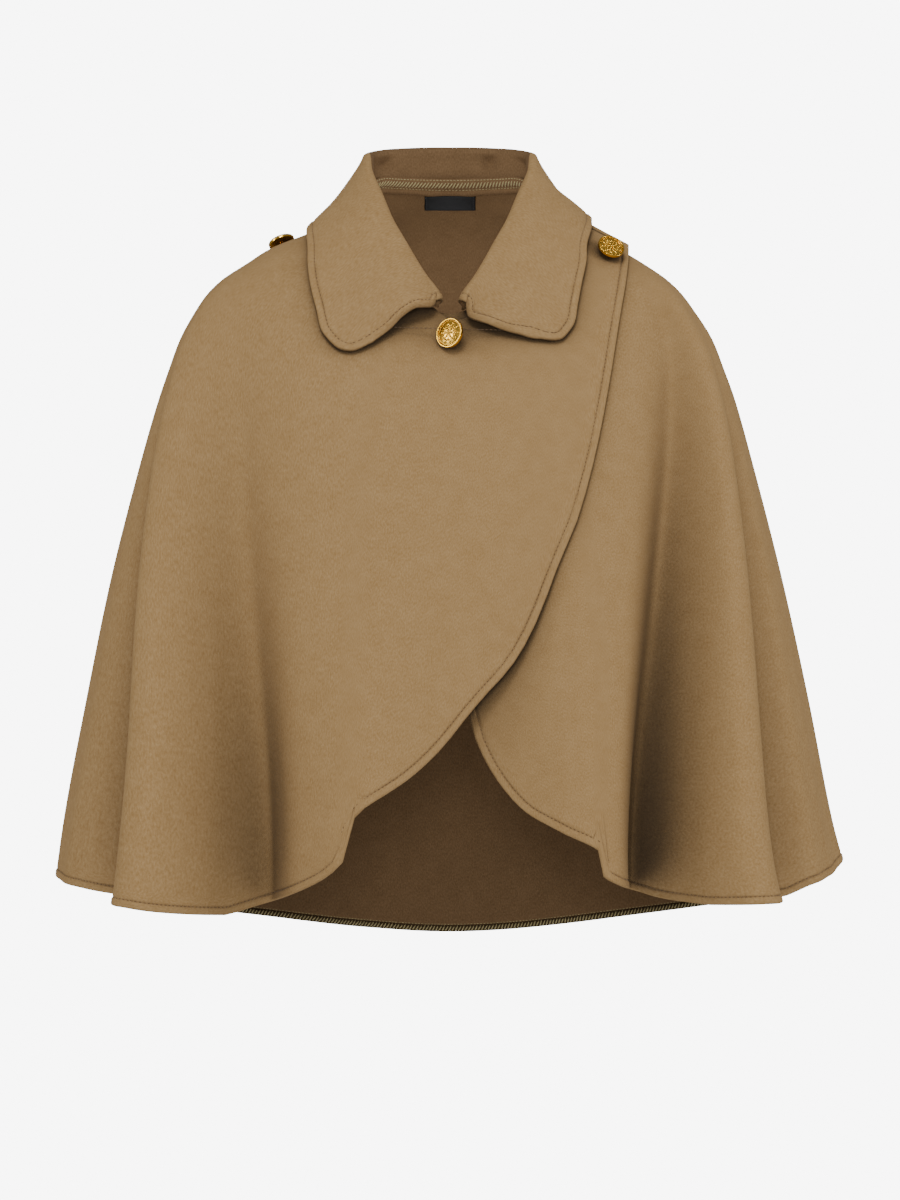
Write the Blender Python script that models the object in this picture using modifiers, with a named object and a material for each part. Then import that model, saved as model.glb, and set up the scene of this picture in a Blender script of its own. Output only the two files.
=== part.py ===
"""Wool cape with a turned-down collar, a wrapped front and gilt shank buttons, worn and filled out.

Metres, +Z up, the front faces -Y and the wearer's left is +X. The origin is the middle of the
shoulder line at the foot of the neck, where the wearer's shoulders carry the cloth.
Tables and sizes are in millimetres. Angles are in degrees about the upright axis: 0 is the centre
front, +90 the wearer's left side, -90 the wearer's right side and 180 the centre back.
"Down" runs from 0 at the neckline to 1 at the hem.
"""
import math

import bpy
import numpy as np
from mathutils import Vector

MM = 0.001

# Thickness of the cloth, gaps where pieces are sewn, and the step from one layer to the next
CLOTH = 2.4
COLLAR_CLOTH = 3.0
PANEL_GAP = 0.55
COLLAR_GAP = 0.85
LABEL_GAP = 0.5
LAYER_STEP = 3.4
SIDE_SEAM_RIGHT = -87.0
SIDE_SEAM_LEFT = 94.0
FLAP_END = 88.0

# A front view is taken from this far in front of the axis and at this height
VIEW_DISTANCE = 3200.0
VIEW_HEIGHT = -292.5

# Upright outlines of the cloth: distance out from the axis, height
RIGHT_SIDE = (
    (74.0, 14.0), (85.0, 5.5), (97.0, -1.8), (109.0, -7.5), (140.0, -20.0), (158.0, -31.5), (176.5, -43.5),
    (188.5, -55.0), (196.5, -66.5), (209.5, -90.0), (218.0, -113.0), (226.0, -136.5),
    (239.5, -183.0), (263.5, -277.0), (282.5, -370.5), (300.0, -464.0), (306.0, -507.0),
)
LEFT_SIDE = (
    (74.0, 14.0), (85.0, 5.5), (97.0, -2.0), (109.0, -8.5), (138.0, -24.0), (153.5, -33.5), (168.0, -43.5),
    (180.0, -55.0), (188.5, -66.5), (203.5, -90.0), (212.5, -113.0), (221.0, -136.5),
    (234.0, -183.0), (258.0, -277.0), (278.5, -370.5), (297.0, -464.0), (305.0, -494.0),
)
FRONT_CENTRE = (
    (67.0, -74.0), (77.0, -90.0), (90.0, -112.0), (106.0, -145.0), (119.0, -185.0), (129.0, -225.0),
    (137.0, -270.0), (146.0, -335.0), (155.0, -410.0), (163.0, -480.0), (170.0, -545.0),
)
BACK_CENTRE = (
    (60.0, 39.0), (76.0, 21.5), (97.0, -12.0), (112.0, -58.0), (121.0, -110.0), (128.0, -175.0),
    (137.0, -260.0), (148.0, -345.0), (161.0, -430.0), (175.0, -510.0), (185.0, -566.0),
)
# How fast the height of a ring leaves the side height towards the centre front and back
RING_HEIGHT_POWER = 2.4
# The neckline stays level across the back as far round as this cosine of the angle
BACK_NECK_LEVEL = 0.75

# Height of the hem round the body: angle, height
HEM = (
    (-210.0, -551.0), (-180.0, -566.0), (-150.0, -551.0), (-125.0, -530.0), (-105.0, -513.0), (-90.0, -507.0),
    (-68.0, -512.0), (-57.0, -517.0), (-43.0, -520.0), (-36.0, -528.0), (0.0, -545.0),
    (20.0, -536.0), (33.0, -523.0), (43.0, -518.0), (58.0, -518.0), (65.0, -509.0),
    (77.0, -502.0), (88.0, -495.0), (105.0, -503.0), (125.0, -527.0), (150.0, -550.0),
    (180.0, -566.0), (210.0, -551.0),
)
HEM_POWER = 3.0

# The cloth hangs in columns. A column is named by its angle at the hem, and near the neck it
# lies at another angle: angle at the hem, angle near the neck
COLUMN_TOPS = (
    (-208.0, -220.0), (-180.0, -180.0), (-155.0, -143.0), (-139.0, -122.0), (-112.0, -104.0), (-90.0, -90.0),
    (-56.0, -85.0), (-43.0, -78.5), (-31.5, -59.5), (-13.0, -19.0), (0.0, 0.0), (20.5, 39.0),
    (33.0, 70.0), (43.0, 75.5), (56.0, 85.0), (90.0, 90.0), (110.0, 102.0), (137.0, 120.0),
    (152.0, 140.0), (180.0, 180.0), (208.0, 220.0),
)
TURN_START = 0.14
TURN_POWER = 1.7

# Folds: angle at the hem, half-width towards the centre front and away from it, height at the
# hem, where it starts and how it grows
FOLDS = (
    (-43.0, 14.0, 11.0, 52.0, 0.14, 0.9),
    (-32.0, 16.0, 9.5, -34.0, 0.20, 0.9),
    (-56.0, 8.0, 11.0, -12.0, 0.26, 1.0),
    (-13.3, 9.0, 8.0, 18.0, 0.45, 1.3),
    (20.5, 14.0, 10.5, 26.0, 0.20, 1.1),
    (32.0, 9.0, 9.0, -44.0, 0.18, 0.8),
    (43.0, 11.5, 11.0, 46.0, 0.14, 0.9),
    (56.0, 8.0, 11.0, -10.0, 0.26, 1.0),
    (112.0, 14.0, 12.0, -12.0, 0.30, 1.0),
    (137.0, 14.0, 15.0, 36.0, 0.20, 1.0),
    (156.0, 12.0, 12.0, -11.0, 0.32, 1.1),
    (-113.0, 13.0, 12.0, -11.0, 0.30, 1.0),
    (-139.0, 15.0, 14.0, 40.0, 0.18, 1.0),
    (-158.0, 11.0, 12.0, -10.0, 0.36, 1.2),
)

# Edges seen in the front view: across, height
RIGHT_FRONT_EDGE = (
    (139.6, 10.0), (139.2, -24.2), (137.7, -40.6), (132.2, -74.1), (124.4, -123.2), (114.3, -175.5),
    (99.5, -230.1), (86.2, -261.3), (74.5, -292.5), (62.8, -319.8), (47.2, -345.5),
    (31.6, -362.7), (16.0, -380.6), (-7.4, -409.5), (-30.8, -431.3), (-50.3, -444.6),
    (-68.3, -456.3), (-76.0, -465.7), (-77.6, -475.8), (-78.4, -489.0), (-85.4, -499.2),
    (-97.1, -509.3), (-124.4, -522.6), (-154.0, -532.0), (-182.0, -539.8), (-250.0, -545.0),
)
LEFT_FRONT_EDGE = (
    (-2.0, -352.0), (6.5, -366.0), (14.4, -382.2), (19.9, -401.7), (29.3, -421.2),
    (39.4, -436.8), (58.9, -457.9), (86.2, -473.5), (118.0, -491.4), (119.0, -507.0), (133.0, -515.6), (148.6, -520.3),
    (164.2, -524.9), (208.7, -531.2), (290.0, -540.0),
)
# Under the collar the flap's top edge lies this far down from the neckline
FLAP_TOP = 0.019
# The hidden edge of the left front leans across the centre towards the neck by this angle
LEFT_FRONT_START = 2.8
LEFT_FRONT_LEAN = -16.0
LEFT_FRONT_LEAN_END = 0.62
# The left front falls back behind the right front by this much near its edge
UNDER_FALL = 12.0
# The right front rises onto the left front between these columns. It lies this much further off it
# at the flap's corner on the shoulder and low down
OVERLAP_COLUMNS = (-36.0, -13.0)
CORNER_LIFT = 3.2
LOW_LIFT = 3.0

# Collar: turn round from the centre back, then the fold line's place across, forward and up
COLLAR_FOLD = (
    (0.0, 0.0, 62.0, 63.0), (35.0, 43.0, 54.0, 61.5), (62.0, 61.5, 33.0, 54.0),
    (78.0, 62.0, 14.0, 41.0), (95.0, 57.5, -5.0, 23.0), (115.0, 50.0, -29.0, 0.0),
    (135.0, 37.0, -48.0, -24.0), (153.0, 23.0, -62.0, -47.0), (165.0, 12.0, -69.0, -61.0),
    (173.0, 7.5, -73.0, -66.5),
)
# Hidden back part of the collar's outer edge: turn, angle, down
COLLAR_BACK_EDGE = (
    (0.0, 180.0, 0.050), (30.0, 150.0, 0.052), (52.0, 128.0, 0.054), (70.0, 108.0, 0.056), (82.0, 92.0, 0.062),
)
# Front part of it in the front view: turn, across, height
COLLAR_EDGE_RIGHT = (
    (94.0, 111.0, -17.0), (106.0, 111.0, -30.0), (120.0, 108.8, -48.0), (132.0, 104.1, -67.0),
    (144.0, 98.5, -86.0), (152.0, 89.3, -96.0), (160.0, 76.0, -99.8), (173.0, 60.5, -93.6),
)
COLLAR_EDGE_LEFT = (
    (94.0, 107.0, -15.0), (106.0, 106.5, -28.0), (120.0, 103.0, -45.0), (132.0, 99.8, -62.0),
    (144.0, 95.6, -79.5), (152.0, 88.5, -88.0), (160.0, 78.0, -90.0), (173.0, 62.8, -86.0),
)
# Short front edge of each leaf in the front view: share of the way, across, height, lift off
COLLAR_END_RIGHT = (
    (0.16, 15.0, -64.5, 13.0), (0.36, 25.0, -64.5, 16.0), (0.56, 35.5, -70.0, 15.0),
    (0.76, 47.0, -81.5, 10.0),
)
COLLAR_END_LEFT = (
    (0.20, 14.0, -71.5, 10.0), (0.50, 31.0, -78.0, 12.0), (0.76, 47.0, -83.5, 9.0),
)
# Radius of the rolled fold, how far the leaf's outer edge and body lie off the cloth, and how far
# the stand bows out
COLLAR_ROLL = 3.2
COLLAR_LIFT = 4.6
COLLAR_BULGE = 3.0
STAND_BOW = 1.5
# The leaf leaves the roll and meets its outer edge in line with it for these shares of its reach
LEAF_START = 0.22
LEAF_END = 0.3
# From this share of the collar's length the leaf is drawn towards its short front edge
LEAF_FRONT_FROM = 0.72

# Buttons: a turned disc with a raised rim on a shank with a rounded tip
BUTTON_RIM_HEIGHT = 3.6
BUTTON_FACE_HEIGHT = 2.6
BUTTON_BACK = 0.9
SHANK_RADIUS = 2.4
SHANK_TIP = 1.0
BUTTON_GAP = 0.3
# Name, radius, column and down of its seat, which way it faces, length of the shank
BUTTONS = (
    ("neck_button", 11.5, 1.9, 0.052, (-0.56, -0.80, 0.20), 7.8),
    ("left_shoulder_button", 10.5, 32.0, 0.110, (0.30, -0.74, 0.60), 4.4),
    ("right_shoulder_button", 10.5, -116.0, 0.115, (-0.32, 0.40, 0.85), 4.4),
)

# Label at the centre back: half its width as an angle, the rows of the back that it lies
# between, and its columns
LABEL_HALF_TURN = 12.8
LABEL_ROWS = (0.022, 0.046)
LABEL_COLUMNS = 7
LABEL_CLOTH = 0.6

# Mesh sizes: columns round, rows down. The back's columns are those on each side of the label
RIGHT_FRONT_GRID = (48, 22)
LEFT_FRONT_GRID = (30, 20)
BACK_GRID = (20, 19)
FOLD_COLUMNS = 0.03
COLLAR_STATIONS = 44
ROW_POWER = 1.45
TURN_STEPS = 24


def eased(low, high, value):
    """0 below low, 1 above high, and a smooth rise between."""
    t = np.clip((value - low) / (high - low), 0.0, 1.0)
    return t * t * (3.0 - 2.0 * t)


def smooth_curve(at, values):
    """A smooth curve through the points, with no overshoot."""
    at = np.asarray(at, float)
    values = np.asarray(values, float)
    steps = np.diff(at)
    slopes = np.diff(values) / steps
    tangent = np.empty_like(values)
    tangent[0] = slopes[0]
    tangent[-1] = slopes[-1]
    same_way = slopes[:-1] * slopes[1:] > 0.0
    mean = 2.0 * slopes[:-1] * slopes[1:] / np.where(same_way, slopes[:-1] + slopes[1:], 1.0)
    tangent[1:-1] = np.where(same_way, mean, 0.0)

    def read(where):
        where = np.clip(where, at[0], at[-1])
        i = np.clip(np.searchsorted(at, where, side="right") - 1, 0, len(steps) - 1)
        t = (where - at[i]) / steps[i]
        start = (1.0 + 2.0 * t) * (1.0 - t) ** 2 * values[i] + t * (1.0 - t) ** 2 * steps[i] * tangent[i]
        end = t * t * (3.0 - 2.0 * t) * values[i + 1] + t * t * (t - 1.0) * steps[i] * tangent[i + 1]
        return start + end

    return read


def outline(rows):
    """Distance out and height along an upright outline, read by the share of its length."""
    rows = np.array(rows)
    length = np.concatenate([[0.0], np.cumsum(np.hypot(*np.diff(rows, axis=0).T))])
    share = length / length[-1]
    return smooth_curve(share, rows[:, 0]), smooth_curve(share, rows[:, 1])


right_out, right_height = outline(RIGHT_SIDE)
left_out, left_height = outline(LEFT_SIDE)
front_out, front_height = outline(FRONT_CENTRE)
back_out, back_height = outline(BACK_CENTRE)
hem_height = smooth_curve(*zip(*HEM))
top_angle = smooth_curve(*zip(*COLUMN_TOPS))


def turned(angle):
    """The same angle between -180 and 180."""
    return (np.asarray(angle, float) + 180.0) % 360.0 - 180.0


def column_angle(column, down):
    """The angle at which a column of cloth lies, this far down."""
    share = np.minimum(1.0, (1.0 - np.clip(down, 0.0, 1.0)) / (1.0 - TURN_START)) ** TURN_POWER
    return column + (top_angle(column) - column) * share


def column_at_neck(angle):
    """The column whose top lies at this angle."""
    columns = np.linspace(-180.0, 180.0, 721)
    return np.interp(turned(angle), column_angle(columns, 0.0), columns)


def fold_depth(column, down):
    """How far the folds push the cloth out from the plain form."""
    depth = 0.0
    for middle, inner, outer, height, start, power in FOLDS:
        away = turned(column - middle) * np.sign(middle)
        share = np.abs(away) / np.where(away < 0.0, inner, outer)
        bump = 0.5 + 0.5 * np.cos(np.pi * np.clip(share, 0.0, 1.0))
        grown = np.clip((down - start) / (1.0 - start), 0.0, None) ** power
        depth = depth + height * grown * bump
    return depth


def cape_point(column, down, sink=0.0):
    """A point of the cloth's middle surface. sink pulls it straight in."""
    column = turned(column)
    down = np.asarray(down, float)
    angle = np.radians(column_angle(column, down))
    across = np.sin(angle)
    ahead = np.cos(angle)
    side_out = np.where(across < 0.0, right_out(down), left_out(down))
    side_height = np.where(across < 0.0, right_height(down), left_height(down))
    end_out = np.where(ahead > 0.0, front_out(down), back_out(down))
    end_height = np.where(ahead > 0.0, front_height(down), back_height(down))
    share = np.abs(ahead) ** RING_HEIGHT_POWER
    level_neck = eased(0.0, BACK_NECK_LEVEL, -ahead) * (1.0 - eased(0.0, 0.12, down))
    share = np.maximum(share, level_neck)
    side_hem = np.where(across < 0.0, RIGHT_SIDE[-1][1], LEFT_SIDE[-1][1])
    end_hem = np.where(ahead > 0.0, FRONT_CENTRE[-1][1], BACK_CENTRE[-1][1])
    plain_hem = side_hem + (end_hem - side_hem) * share
    height = side_height + (end_height - side_height) * share
    height = height + (hem_height(column) - plain_hem) * down**HEM_POWER
    push = fold_depth(column, down) - sink
    return np.stack([(side_out + push) * across, -(end_out + push) * ahead, height], axis=-1)


def cape_normal(column, down):
    """The outward direction of the cloth."""
    turn = 0.2
    step = 0.002
    above = np.clip(np.asarray(down, float) - step, 0.0, 1.0)
    below = np.clip(np.asarray(down, float) + step, 0.0, 1.0)
    round_way = cape_point(column + turn, down) - cape_point(column - turn, down)
    down_way = cape_point(column, below) - cape_point(column, above)
    normal = np.cross(down_way, round_way)
    return normal / np.linalg.norm(normal, axis=-1, keepdims=True)


def lifted(column, down, lift, sink=0.0):
    """A point of the cloth moved out by lift."""
    return cape_point(column, down, sink) + cape_normal(column, down) * np.asarray(lift)[..., None]


def front_view(points):
    """Where points are seen from the front, across and up."""
    nearer = VIEW_DISTANCE / (VIEW_DISTANCE + points[..., 1])
    return points[..., 0] * nearer, VIEW_HEIGHT + (points[..., 2] - VIEW_HEIGHT) * nearer


def cloth_seen_at(across, height, lift):
    """The column and down of the cloth that is seen at a place in the front view."""
    found = np.array([math.copysign(30.0, across), 0.2])
    for _ in range(40):
        def miss(at):
            seen = front_view(lifted(at[0], at[1], lift))
            return np.array([seen[0] - across, seen[1] - height])

        now = miss(found)
        by_column = (miss(found + (0.01, 0.0)) - now) / 0.01
        by_down = (miss(found + (0.0, 0.0001)) - now) / 0.0001
        step = np.linalg.solve(np.column_stack([by_column, by_down]), now)
        found = found - np.clip(step, (-6.0, -0.06), (6.0, 0.06))
        found[1] = np.clip(found[1], 0.0, 1.0)
    return found


def overlap_lift(column, down):
    """How far the right front lies out of the plain form where it passes over the left front."""
    over = eased(*OVERLAP_COLUMNS, column)
    corner = CORNER_LIFT * eased(50.0, FLAP_END, column)
    low = LOW_LIFT * eased(0.35, 0.75, down)
    return over * (LAYER_STEP + corner + low)


def under_sink(column, down):
    """How far the left front falls back behind the right front near its own edge."""
    return UNDER_FALL * eased(0.35, 0.8, down) * (1.0 - eased(4.0, 18.0, column))


def edge_down(columns, edge, side, lift_of, sink_of):
    """How far down each column of cloth is cut off by an edge that is given in the front view."""
    edge = np.array(edge)
    at = smooth_curve(-edge[:, 1], edge[:, 0])
    downs = np.linspace(0.0, 1.0, 401)
    cut = np.ones(len(columns))
    for i, name in enumerate(columns):
        column = np.full_like(downs, name)
        points = lifted(column, downs, lift_of(column, downs), sink_of(column, downs))
        across, height = front_view(points)
        past = np.where(height > edge[0, 1], -1.0, side * (across - at(-height)))
        crossed = np.nonzero((past[:-1] < 0.0) & (past[1:] >= 0.0))[0]
        if len(crossed):
            k = crossed[-1] if past[-1] > 0.0 else crossed[0]
            cut[i] = downs[k] + (downs[1] - downs[0]) * past[k] / (past[k] - past[k + 1])
    return cut


def collection_named(name):
    group = bpy.data.collections.new(name)
    bpy.context.scene.collection.children.link(group)
    return group


def material(name, colour, roughness, metallic=0.0):
    made = bpy.data.materials.new(name)
    made.use_nodes = True
    shader = made.node_tree.nodes["Principled BSDF"]
    shader.inputs["Base Color"].default_value = (*colour, 1.0)
    shader.inputs["Roughness"].default_value = roughness
    shader.inputs["Metallic"].default_value = metallic
    return made


def cloth_piece(name, grid, thickness, group, finish):
    """A cloth wall: an open sheet through a grid of middle points, made thick on both sides."""
    rows, columns = grid.shape[:2]
    points = [tuple(point * MM) for point in grid.reshape(-1, 3)]
    faces = []
    for i in range(rows - 1):
        for j in range(columns - 1):
            k = i * columns + j
            faces.append((k, k + columns, k + columns + 1, k + 1))
    mesh = bpy.data.meshes.new(name)
    mesh.from_pydata(points, [], faces)
    mesh.shade_smooth()
    mesh.materials.append(finish)
    piece = bpy.data.objects.new(name, mesh)
    group.objects.link(piece)
    wall = piece.modifiers.new("wall", "SOLIDIFY")
    wall.thickness = thickness * MM
    wall.offset = 0.0
    return piece


def on_seam_side(column, down, seam, way):
    """Moves the column that runs along a seam to its own side by half of the seam's gap."""
    before = cape_point(np.full_like(down, seam - 0.5), down)
    per_degree = cape_point(np.full_like(down, seam + 0.5), down) - before
    half_gap = 0.5 * PANEL_GAP / np.linalg.norm(per_degree, axis=-1)
    return np.where(np.abs(turned(column - seam)) < 1e-6, column + way * half_gap, column)


def row_shares(rows):
    """Rows closer together near the neck, where the cloth curves most."""
    return np.linspace(0.0, 1.0, rows)[:, None] ** ROW_POWER


def flat_zero(column, down):
    return 0.0 * column * down


def column_names(first, last, count):
    """Columns from first to last, closer together where the tall folds are."""
    fine = np.linspace(first, last, 2001)
    weight = np.ones_like(fine)
    for middle, inner, outer, height, _, _ in FOLDS:
        near = np.clip(1.0 - np.abs(turned(fine - middle)) / max(inner, outer), 0.0, 1.0)
        weight += FOLD_COLUMNS * abs(height) * near
    passed = np.concatenate([[0.0], np.cumsum(0.5 * (weight[1:] + weight[:-1]))])
    return np.interp(np.linspace(0.0, passed[-1], count), passed, fine)


def right_front_grid(columns, rows):
    """Wearer's right front: from the right side seam across to the flap on the left shoulder."""
    names = column_names(SIDE_SEAM_RIGHT, FLAP_END, columns)
    ends = edge_down(names, RIGHT_FRONT_EDGE, 1.0, overlap_lift, flat_zero)
    tops = FLAP_TOP * eased(-8.0, 3.0, names)
    down = tops + (ends - tops) * row_shares(rows)
    column = on_seam_side(names + 0.0 * down, down, SIDE_SEAM_RIGHT, 1.0)
    return lifted(column, down, overlap_lift(column, down))


def left_front_grid(columns, rows):
    """Wearer's left front: lies under the right front, and its curved corner shows at the hem."""
    names = column_names(LEFT_FRONT_START, SIDE_SEAM_LEFT, columns)
    ends = edge_down(names, LEFT_FRONT_EDGE, -1.0, flat_zero, under_sink)
    down = ends * row_shares(rows)
    lean = LEFT_FRONT_LEAN * np.clip(1.0 - down / LEFT_FRONT_LEAN_END, 0.0, None)
    near_edge = (SIDE_SEAM_LEFT - names) / (SIDE_SEAM_LEFT - LEFT_FRONT_START)
    column = on_seam_side(names + lean * near_edge**3, down, SIDE_SEAM_LEFT, -1.0)
    return lifted(column, down, flat_zero(column, down), under_sink(column, down))


def back_grid(columns, rows):
    """Back: one piece from the left side seam round to the right side seam."""
    label_start = column_at_neck(180.0 - LABEL_HALF_TURN)
    label_end = 360.0 + column_at_neck(180.0 + LABEL_HALF_TURN)
    names = np.concatenate([
        column_names(SIDE_SEAM_LEFT, label_start, columns),
        np.linspace(label_start, label_end, LABEL_COLUMNS)[1:-1],
        column_names(label_end, 360.0 + SIDE_SEAM_RIGHT, columns),
    ])
    below = LABEL_ROWS[1] + (1.0 - LABEL_ROWS[1]) * row_shares(rows - 2)
    down = np.concatenate([[[0.0], [LABEL_ROWS[0]]], below]) + 0.0 * names
    column = on_seam_side(names + 0.0 * down, down, SIDE_SEAM_LEFT, 1.0)
    column = on_seam_side(column, down, SIDE_SEAM_RIGHT, -1.0)
    return cape_point(column, down)


def panel_lift(side, column, down):
    """How far out the cloth under one side of the collar lies."""
    if side < 0.0:
        return overlap_lift(column, down)
    return overlap_lift(np.abs(column), down) * (1.0 - eased(90.0, 112.0, np.abs(column)))


def collar_edge(side, rows):
    """The collar's outer edge on one side: angle and down, read by the turn from the back."""
    turns = [turn for turn, _, _ in COLLAR_BACK_EDGE]
    angles = [side * angle for _, angle, _ in COLLAR_BACK_EDGE]
    downs = [down for _, _, down in COLLAR_BACK_EDGE]
    for turn, across, height in rows:
        lift = COLLAR_LIFT + (LAYER_STEP if side > 0.0 else 0.0)
        column, down = cloth_seen_at(side * across, height, lift)
        turns.append(turn)
        angles.append(float(top_angle(column)))
        downs.append(down)
    return smooth_curve(turns, angles), smooth_curve(turns, downs)


def collar_grid(stations, stand_rows=4, roll_rows=5, fall_rows=9):
    """Collar: a stand up from the neckline, a rolled fold line, and the leaf that falls over it."""
    fold = np.array(COLLAR_FOLD)
    place = [smooth_curve(fold[:, 0], fold[:, k]) for k in (1, 2, 3)]
    last = fold[-1, 0]
    grid = []
    sides = ((-1.0, COLLAR_EDGE_RIGHT, COLLAR_END_RIGHT), (1.0, COLLAR_EDGE_LEFT, COLLAR_END_LEFT))
    for side, rows, ends in sides:
        edge_angle, edge_down_at = collar_edge(side, rows)

        def fold_point(turn):
            return np.stack([side * place[0](turn), place[1](turn), place[2](turn)], axis=-1)

        fine = np.linspace(0.0, last, 400)
        outer = cape_point(column_at_neck(edge_angle(fine)), edge_down_at(fine))
        both = np.concatenate([outer, fold_point(fine)], axis=1)
        passed = np.concatenate([[0.0], np.cumsum(np.linalg.norm(np.diff(both, axis=0), axis=1))])
        turns = np.interp(np.linspace(0.0, passed[-1], stations // 2 + 1), passed, fine)
        neck_column = column_at_neck(side * (180.0 - turns))
        neck_down = 0.0 * turns
        neck_lift = 0.5 * CLOTH + COLLAR_GAP + (overlap_lift(neck_column, neck_down) if side < 0.0 else 0.0)
        neck = lifted(neck_column, neck_down, neck_lift)
        top = fold_point(turns)
        cover = cape_normal(neck_column, neck_down)
        lean = top - neck
        lean /= np.linalg.norm(lean, axis=-1, keepdims=True)
        along_cover = np.sum(lean * cover, axis=-1, keepdims=True)
        flatness = np.sqrt(np.maximum(1.0 - along_cover**2, 0.25))
        neck += cover * (0.5 * COLLAR_CLOTH * np.where(along_cover < 0.0, 1.0 / flatness, flatness))
        along = fold_point(turns + 0.5) - fold_point(turns - 0.5)
        along[0] = (side, 0.0, 0.0)
        up = top - neck
        up -= along * (np.sum(up * along, -1) / np.sum(along * along, -1))[:, None]
        up /= np.linalg.norm(up, axis=-1, keepdims=True)
        out = np.cross(up, along) * side
        out /= np.linalg.norm(out, axis=-1, keepdims=True)
        columns = column_at_neck(edge_angle(turns))
        downs = edge_down_at(turns)
        edge = lifted(columns, downs, COLLAR_LIFT + panel_lift(side, columns, downs))
        share = np.linspace(0.0, 1.0, stand_rows + 1)[:-1, None, None]
        stand = neck + (top - neck) * share + out * (STAND_BOW * np.sin(np.pi * share))
        bend = np.linspace(0.0, np.pi, roll_rows)[:, None, None]
        roll = top + COLLAR_ROLL * (out * (1.0 - np.cos(bend)) + up * np.sin(bend))
        begin = roll[-1]
        reach = np.linalg.norm(edge - begin, axis=-1, keepdims=True)
        t = np.linspace(0.0, 1.0, fall_rows + 1)[1:, None, None]
        first = begin - up * LEAF_START * reach
        cover = cape_normal(columns, downs)
        second = edge + (begin - edge) * LEAF_END + cover * COLLAR_BULGE
        fall = (1 - t) ** 3 * begin + 3 * t * (1 - t) ** 2 * first + 3 * t * t * (1 - t) * second + t**3 * edge
        share_at = [0.0] + [row[0] for row in ends] + [1.0]
        drawn = [begin[-1]]
        for _, across, height, lift in ends:
            column, down = cloth_seen_at(side * across, height, lift)
            drawn.append(lifted(column, down, lift))
        drawn.append(edge[-1])
        drawn = np.array(drawn)
        short_edge = np.stack([smooth_curve(share_at, drawn[:, k])(t[:, 0, 0]) for k in range(3)], -1)
        pull = eased(LEAF_FRONT_FROM, 1.0, turns / last)[None, :, None]
        fall = fall + pull * (short_edge - fall[:, -1])[:, None, :]
        half = np.concatenate([stand, roll, fall])
        grid.append(half[:, ::-1] if side < 0.0 else half[:, 1:])
    return np.concatenate(grid, axis=1)


def label_grid(back):
    """Label: a short ribbon sewn flat inside the back, made from the back's own points, moved in."""
    down_way = back[2:4, :] - back[0:2, :]
    round_way = np.roll(back, -1, axis=1)[1:3] - np.roll(back, 1, axis=1)[1:3]
    normal = np.cross(down_way, round_way)
    normal /= np.linalg.norm(normal, axis=-1, keepdims=True)
    inset = 0.5 * CLOTH + LABEL_GAP + 0.5 * LABEL_CLOTH
    moved = back[1:3] - normal * inset
    first = BACK_GRID[0] - 1
    return moved[:, first : first + LABEL_COLUMNS]


def button(name, radius, column, down, facing, shank, group, finish):
    """Gilt shank button: a turned disc with a raised rim and a short shank behind it."""
    profile = (
        (0.0, BUTTON_FACE_HEIGHT + 0.5), (0.45 * radius, BUTTON_FACE_HEIGHT + 0.4),
        (0.78 * radius, BUTTON_FACE_HEIGHT), (0.82 * radius, BUTTON_RIM_HEIGHT - 0.3),
        (0.92 * radius, BUTTON_RIM_HEIGHT), (radius, BUTTON_RIM_HEIGHT - 0.9),
        (radius, BUTTON_BACK + 0.4), (0.92 * radius, BUTTON_BACK), (SHANK_RADIUS, 0.3),
        (SHANK_RADIUS, SHANK_TIP - shank), (SHANK_TIP, -shank), (0.0, -shank),
    )
    mesh = bpy.data.meshes.new(name)
    points = [(out * MM, 0.0, height * MM) for out, height in profile]
    mesh.from_pydata(points, [(i, i + 1) for i in range(len(points) - 1)], [])
    mesh.materials.append(finish)
    piece = bpy.data.objects.new(name, mesh)
    group.objects.link(piece)
    turn = piece.modifiers.new("turn", "SCREW")
    turn.steps = TURN_STEPS
    turn.render_steps = TURN_STEPS
    turn.use_merge_vertices = True
    turn.merge_threshold = 0.00001
    facing = Vector(facing).normalized()
    out = Vector(cape_normal(column, down))
    tilt = math.sqrt(max(0.0, 1.0 - facing.dot(out) ** 2))
    dip = max(SHANK_TIP * tilt, SHANK_RADIUS * tilt - SHANK_TIP * facing.dot(out))
    above = 0.5 * CLOTH + BUTTON_GAP + dip
    if abs(column) < FLAP_END:
        above += float(overlap_lift(column, down))
    seat = Vector(cape_point(column, down)) + out * above
    piece.location = (seat + facing * shank) * MM
    piece.rotation_euler = facing.to_track_quat("Z", "Y").to_euler()
    return piece


def main():
    for obj in list(bpy.data.objects):
        bpy.data.objects.remove(obj, do_unlink=True)
    group = collection_named("wool_cape")
    camel = material("camel_wool", (0.37, 0.24, 0.12), 0.95)
    camel_dark = material("camel_wool_under", (0.31, 0.2, 0.1), 0.95)
    camel_collar = material("camel_wool_collar", (0.42, 0.28, 0.14), 0.95)
    gilt = material("gilt_brass", (0.83, 0.56, 0.14), 0.25, 1.0)
    black = material("black_ribbon", (0.01, 0.01, 0.012), 0.7)

    cloth_piece("right_front", right_front_grid(*RIGHT_FRONT_GRID), CLOTH, group, camel)
    cloth_piece("left_front", left_front_grid(*LEFT_FRONT_GRID), CLOTH, group, camel_dark)
    back = back_grid(*BACK_GRID)
    cloth_piece("back", back, CLOTH, group, camel)
    cloth_piece("collar", collar_grid(COLLAR_STATIONS), COLLAR_CLOTH, group, camel_collar)
    cloth_piece("label", label_grid(back), LABEL_CLOTH, group, black)

    for row in BUTTONS:
        button(*row, group, gilt)


main()
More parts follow.
